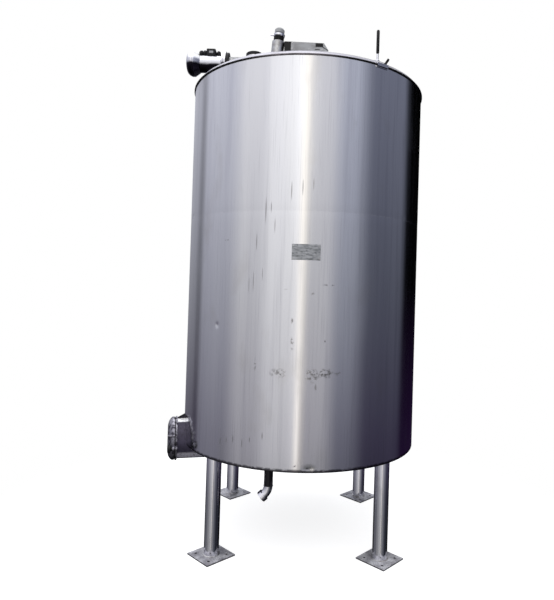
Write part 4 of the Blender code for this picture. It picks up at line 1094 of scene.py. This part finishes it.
gear_low, gear_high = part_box("gearbox")
gear_bolts = []
gear_heights = (gear_low.z + GEAR_BOLT_INSET, gear_high.z - GEAR_BOLT_INSET)
for x in (gear_low.x + GEAR_BOLT_INSET, gear_high.x - GEAR_BOLT_INSET):
    for z in gear_heights:
        gear_bolts.append((Vector((x, gear_low.y, z)), FRONT))
        gear_bolts.append((Vector((x, gear_high.y, z)), BACK))
for y in (-GEAR_END_BOLT_Y, GEAR_END_BOLT_Y):
    for z in gear_heights:
        gear_bolts.append((Vector((gear_high.x, y, z)), RIGHT))
fasten("gearbox_bolts", gear_bolts, head=(0.0065, 0.0053), washer=(0.0085, 0.0015), sides=6)

plate_low, plate_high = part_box("nameplate")
rivets = []
for x in (plate_low.x + RIVET_INSET, plate_high.x - RIVET_INSET):
    for z in (plate_low.z + RIVET_INSET, plate_high.z - RIVET_INSET):
        bearing = math.degrees(math.asin((x - AXIS_X) / RADIUS))
        point = shell_point(bearing, z, RADIUS + 2.2 * MM)
        rivets.append((point, (point - Vector((AXIS_X, 0.0, z))).normalized()))
fasten("nameplate_rivets", rivets, head=(0.0026, 0.0012), washer=(0.0036, 0.0006), sides=12)

house_low, house_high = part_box("instrument_housing")
first, second, last = HOUSING_SCREW_INSETS
screws = []
for x in (house_low.x + first, house_low.x + second, house_high.x - last):
    for z in (house_low.z + HOUSING_SCREW_RISE, house_high.z - HOUSING_SCREW_DROP):
        screws.append((Vector((x, house_low.y, z)), FRONT))
fasten("housing_screws", screws, head=(0.0028, 0.0012), washer=(0.0032, 0.0004), sides=12)

# %% [markdown]
# ## Turned and boxed pieces
#
# A round part is an outline that is turned about its axis, so one helper eases the corners of an
# outline and another turns it. A moulded or folded box is a block with eased edges.

# %% Turning and boxing
def eased(outline, size):
    """Round each corner of an outline of (radius, height) points, except on the axis."""
    done = []
    for index, corner in enumerate(outline):
        here = Vector(corner)
        if here.x == 0.0:
            done.append(here)
            continue
        before = Vector(outline[index - 1]) - here
        after = Vector(outline[(index + 1) % len(outline)]) - here
        start = here + before.normalized() * min(size, 0.45 * before.length)
        end = here + after.normalized() * min(size, 0.45 * after.length)
        for t in (0.0, 0.33, 0.67, 1.0):
            done.append(start * (1.0 - t) ** 2 + here * (2.0 * t * (1.0 - t)) + end * t ** 2)
    return done


def turn_outline(builder, outline, matrix, steps=96):
    """Revolve a closed outline about +Z and place it."""
    rings = []
    for index in range(steps):
        turn = 2.0 * math.pi * index / steps
        spots = [Vector((p.x * math.cos(turn), p.x * math.sin(turn), p.y)) for p in outline]
        rings.append([builder.verts.new(matrix @ spot) for spot in spots])
    for index, ring in enumerate(rings):
        beyond = rings[(index + 1) % steps]
        for point in range(len(outline)):
            after = (point + 1) % len(outline)
            if outline[point].x > 0.0 or outline[after].x > 0.0:
                builder.faces.new((ring[point], beyond[point], beyond[after], ring[after]))


def add_block(builder, low, high, ease, matrix=Matrix.Identity(4)):
    """A block between two corners with eased edges."""
    middle = (Vector(low) + Vector(high)) / 2
    size = Vector(high) - Vector(low)
    made = bmesh.ops.create_cube(builder, size=1.0)["verts"]
    bmesh.ops.scale(builder, verts=made, vec=size)
    bmesh.ops.translate(builder, verts=made, vec=middle)
    edges = list(dict.fromkeys(e for v in made for e in v.link_edges))
    made = bmesh.ops.bevel(builder, geom=edges, offset=ease, segments=3, profile=0.5,
                           affect="EDGES")["verts"]
    bmesh.ops.transform(builder, matrix=matrix, verts=made)


def close_mesh(builder):
    bmesh.ops.remove_doubles(builder, verts=builder.verts, dist=1e-6)
    bmesh.ops.recalc_face_normals(builder, faces=builder.faces)
    mesh = bpy.data.meshes.new("closed")
    builder.to_mesh(mesh)
    builder.free()
    return mesh


# %% [markdown]
# ## The legs
#
# Each leg is a piece of 3 inch pipe. Its section is a thin rectangle that is turned about the leg's
# own axis, with more sides than the frame's legs have, so that its long reflections run straight.

# %% Legs
LEG_WALL = 0.00305
builder = bmesh.new()
for leg_name in LEG_NAMES:
    low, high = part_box("leg_" + leg_name)
    inner = LEG_OUTER - LEG_WALL
    tube = [(inner, low.z), (LEG_OUTER, low.z), (LEG_OUTER, high.z), (inner, high.z)]
    turn_outline(builder, [Vector(p) for p in tube], upright_axis("leg_" + leg_name))
finish_piece("leg_pipes", close_mesh(builder), PIPE, ["leg_" + n for n in LEG_NAMES])

# %% [markdown]
# ## The motor
#
# A wash-down motor has a smooth polished housing: an end bell with a thin groove, a slimmer body,
# and a domed cowl over the fan. On top sits a moulded terminal box with a nut-and-dome cable
# entry at each end.

# %% Motor
MOTOR_AXIS_Z = 3.120
BELL_RADIUS, BODY_RADIUS, COWL_RADIUS = 0.085, 0.057, 0.084
FACE_LEFT = Matrix.Rotation(math.radians(-90.0), 4, "Y")
FACE_RIGHT = Matrix.Rotation(math.radians(90.0), 4, "Y")
motor_low, motor_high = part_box("motor_body")
cowl_low, cowl_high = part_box("motor_cowl")
motor_start = Matrix.Translation((motor_high.x, 0.0, MOTOR_AXIS_Z)) @ FACE_LEFT
body_end = motor_high.x - motor_low.x
cowl_start = motor_high.x - cowl_high.x
cowl_end = motor_high.x - cowl_low.x
bell = [(0.0, 0.0), (BELL_RADIUS, 0.0), (BELL_RADIUS, 0.0125), (BELL_RADIUS - 0.003, 0.013),
        (BELL_RADIUS - 0.003, 0.0155), (BELL_RADIUS, 0.016), (BELL_RADIUS, 0.026),
        (BODY_RADIUS, 0.034), (BODY_RADIUS, body_end), (0.0, body_end)]
dome = [(0.0, cowl_start), (BODY_RADIUS, cowl_start), (COWL_RADIUS, cowl_start + 0.040),
        (COWL_RADIUS, cowl_start + 0.0455), (COWL_RADIUS - 0.002, cowl_start + 0.046),
        (COWL_RADIUS - 0.002, cowl_start + 0.048), (COWL_RADIUS, cowl_start + 0.0485),
        (COWL_RADIUS, cowl_end - 0.036), (COWL_RADIUS - 0.008, cowl_end - 0.018),
        (COWL_RADIUS - 0.022, cowl_end - 0.005), (COWL_RADIUS - 0.040, cowl_end), (0.0, cowl_end)]
builder = bmesh.new()
turn_outline(builder, eased(bell, 0.0015), motor_start)
turn_outline(builder, eased(dome, 0.006), motor_start)
finish_piece("motor_housing", close_mesh(builder), MOTOR_SHEET,
             ["motor_body", "motor_cowl"])

# %% Terminal box
BOX_LEFT, BOX_RIGHT, BOX_HALF, BOX_LOW_Z = -0.6600, -0.5975, 0.037, 3.162
LABEL_LOW_Z, LABEL_HIGH_Z = 3.184, 3.200
GLAND_DROP = 0.0245
left_gland = [(0.0, -0.004), (0.015, -0.004), (0.015, 0.004), (0.022, 0.006), (0.0235, 0.020),
              (0.017, 0.024), (0.017, 0.028), (0.0215, 0.031), (0.021, 0.046), (0.013, 0.054),
              (0.0, 0.0555)]
right_gland = [(0.0, -0.004), (0.013, -0.004), (0.013, 0.008), (0.0205, 0.010), (0.0205, 0.022),
               (0.013, 0.031), (0.0, 0.0325)]
box_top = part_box("terminal_box")[1].z
builder = bmesh.new()
add_block(builder, (BOX_LEFT, -BOX_HALF, BOX_LOW_Z), (BOX_RIGHT, BOX_HALF, box_top), 0.007)
for outline, x, facing in ((left_gland, BOX_LEFT, FACE_LEFT), (right_gland, BOX_RIGHT, FACE_RIGHT)):
    gland_frame = Matrix.Translation((x, 0.0, box_top - GLAND_DROP)) @ facing
    turn_outline(builder, eased(outline, 0.003), gland_frame, 48)
finish_piece("terminal_box_dressed", close_mesh(builder), NYLON, ["terminal_box"])
builder = bmesh.new()
add_block(builder, (BOX_LEFT + 0.018, -BOX_HALF - MM, LABEL_LOW_Z),
          (BOX_RIGHT - 0.016, -BOX_HALF + 2.0 * MM, LABEL_HIGH_Z), 0.001)
finish_piece("terminal_label_plate", close_mesh(builder), ENCLOSURE)

# %% [markdown]
# ## A dark ring and trim on the roof
#
# A black ring sits under the port's cap, turned like the legs. The long housing has a dark window
# with a thin bezel, a slot under it and a black strip along the sloping end, a painted shadow line.

# %% Black ring under the port's cap
SEAL_INNER, SEAL_OUTER, SEAL_HEIGHT = 0.040, 0.0488, 0.008
seal = [(SEAL_INNER, 0.0), (SEAL_OUTER, 0.0), (SEAL_OUTER, SEAL_HEIGHT), (SEAL_INNER, SEAL_HEIGHT)]
builder = bmesh.new()
seal_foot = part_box("port_cap")[0].z - SEAL_HEIGHT
turn_outline(builder, eased(seal, 0.001), upright_axis("port_cap", seal_foot))
finish_piece("port_seal", close_mesh(builder), NYLON)

# %% Housing trim
# Each piece: left, right, low and high edge, how far it stands out, eased edge
WINDOW = (0.0785, 0.1199, 2.9395, 2.9596, 0.0020, 0.0008)
SLOT = (0.0750, 0.1035, 2.9222, 2.9262, 0.0010, 0.0004)
SLOPE_MIDDLE = (0.1328, 2.9300)
SLOPE_HALF_LENGTH, SLOPE_HALF_WIDTH = 0.0180, 0.0013
front_y = house_low.y
builder = bmesh.new()
for left, right, low_z, high_z, out, ease in (WINDOW, SLOT):
    add_block(builder, (left, front_y - out, low_z), (right, front_y + 0.5 * MM, high_z), ease)
# A thin black strip along the sloping end's lower edge: a painted shadow line.
slope = Matrix.Translation((SLOPE_MIDDLE[0], front_y, SLOPE_MIDDLE[1]))
slope = slope @ Matrix.Rotation(math.radians(31.0), 4, "Y")
add_block(builder, (-SLOPE_HALF_LENGTH, -1.5 * MM, -SLOPE_HALF_WIDTH),
          (SLOPE_HALF_LENGTH, 0.5 * MM, SLOPE_HALF_WIDTH), 0.0004, slope)
finish_piece("housing_window", close_mesh(builder), NYLON)

# %% [markdown]
# ## Fan guard
#
# Air goes in at the motor's end through a guard of thin rings and spokes. The tree makes rings of
# growing size from one curve and a fan of spokes, all with a round wire section.

# %% Guard tree
def guard_tree():
    tree, start, end = geometry_tree("fan_guard", {
        "Rings": "Int", "Ring Gap": "Float", "Spokes": "Int", "Wire": "Float", "Finish": "Material"})
    given = start.outputs
    stacked = {"Offset": (0.0, 0.0, 0.0)}
    line = add_node(tree, "GeometryNodeMeshLine", {"mode": "OFFSET"},
                    {"Count": given["Rings"], **stacked})
    circle = add_node(tree, "GeometryNodeCurvePrimitiveCircle", {}, {"Resolution": 40, "Radius": 1.0})
    index = add_node(tree, "GeometryNodeInputIndex")
    order = add_node(tree, MATH, ADD, [index, 1.0])
    size = add_node(tree, MATH, MULTIPLY, [order, given["Ring Gap"]])
    rings = add_node(tree, "GeometryNodeInstanceOnPoints", {},
                     {"Points": line, "Instance": circle, "Scale": size})
    reach = add_node(tree, MATH, MULTIPLY, [given["Rings"], given["Ring Gap"]])
    tip = add_node(tree, COMBINE, {}, [reach])
    spoke = add_node(tree, "GeometryNodeCurvePrimitiveLine", {}, {"End": tip})
    dots = add_node(tree, "GeometryNodeMeshLine", {"mode": "OFFSET"},
                    {"Count": given["Spokes"], **stacked})
    step = add_node(tree, MATH, DIVIDE, [2.0 * math.pi, given["Spokes"]])
    turn = add_node(tree, MATH, MULTIPLY, [index, step])
    spin = add_node(tree, COMBINE, {}, {2: turn})
    spokes = add_node(tree, "GeometryNodeInstanceOnPoints", {},
                      {"Points": dots, "Instance": spoke, "Rotation": spin})
    wires = add_node(tree, "GeometryNodeJoinGeometry")
    for part in (rings, spokes):
        real = add_node(tree, "GeometryNodeRealizeInstances", {}, [part])
        tree.links.new(real.outputs[0], wires.inputs[0])
    section = add_node(tree, "GeometryNodeCurvePrimitiveCircle", {},
                       {"Resolution": 6, "Radius": given["Wire"]})
    solid = add_node(tree, "GeometryNodeCurveToMesh", {},
                     {"Curve": wires, "Profile Curve": section, "Fill Caps": True})
    return end_tree(tree, start, end, solid)


guard_mesh = run_tree(guard_tree(), bpy.data.meshes.new("none"), {
    "Rings": 5, "Ring Gap": 0.0078, "Spokes": 8, "Wire": 0.0013, "Finish": NYLON})
guard_place = Matrix.Translation((cowl_low.x + 1.4 * MM, 0.0, MOTOR_AXIS_Z))
guard_mesh.transform(guard_place @ FACE_LEFT)
finish_piece("motor_fan_guard", guard_mesh, NYLON, sharp=60.0)
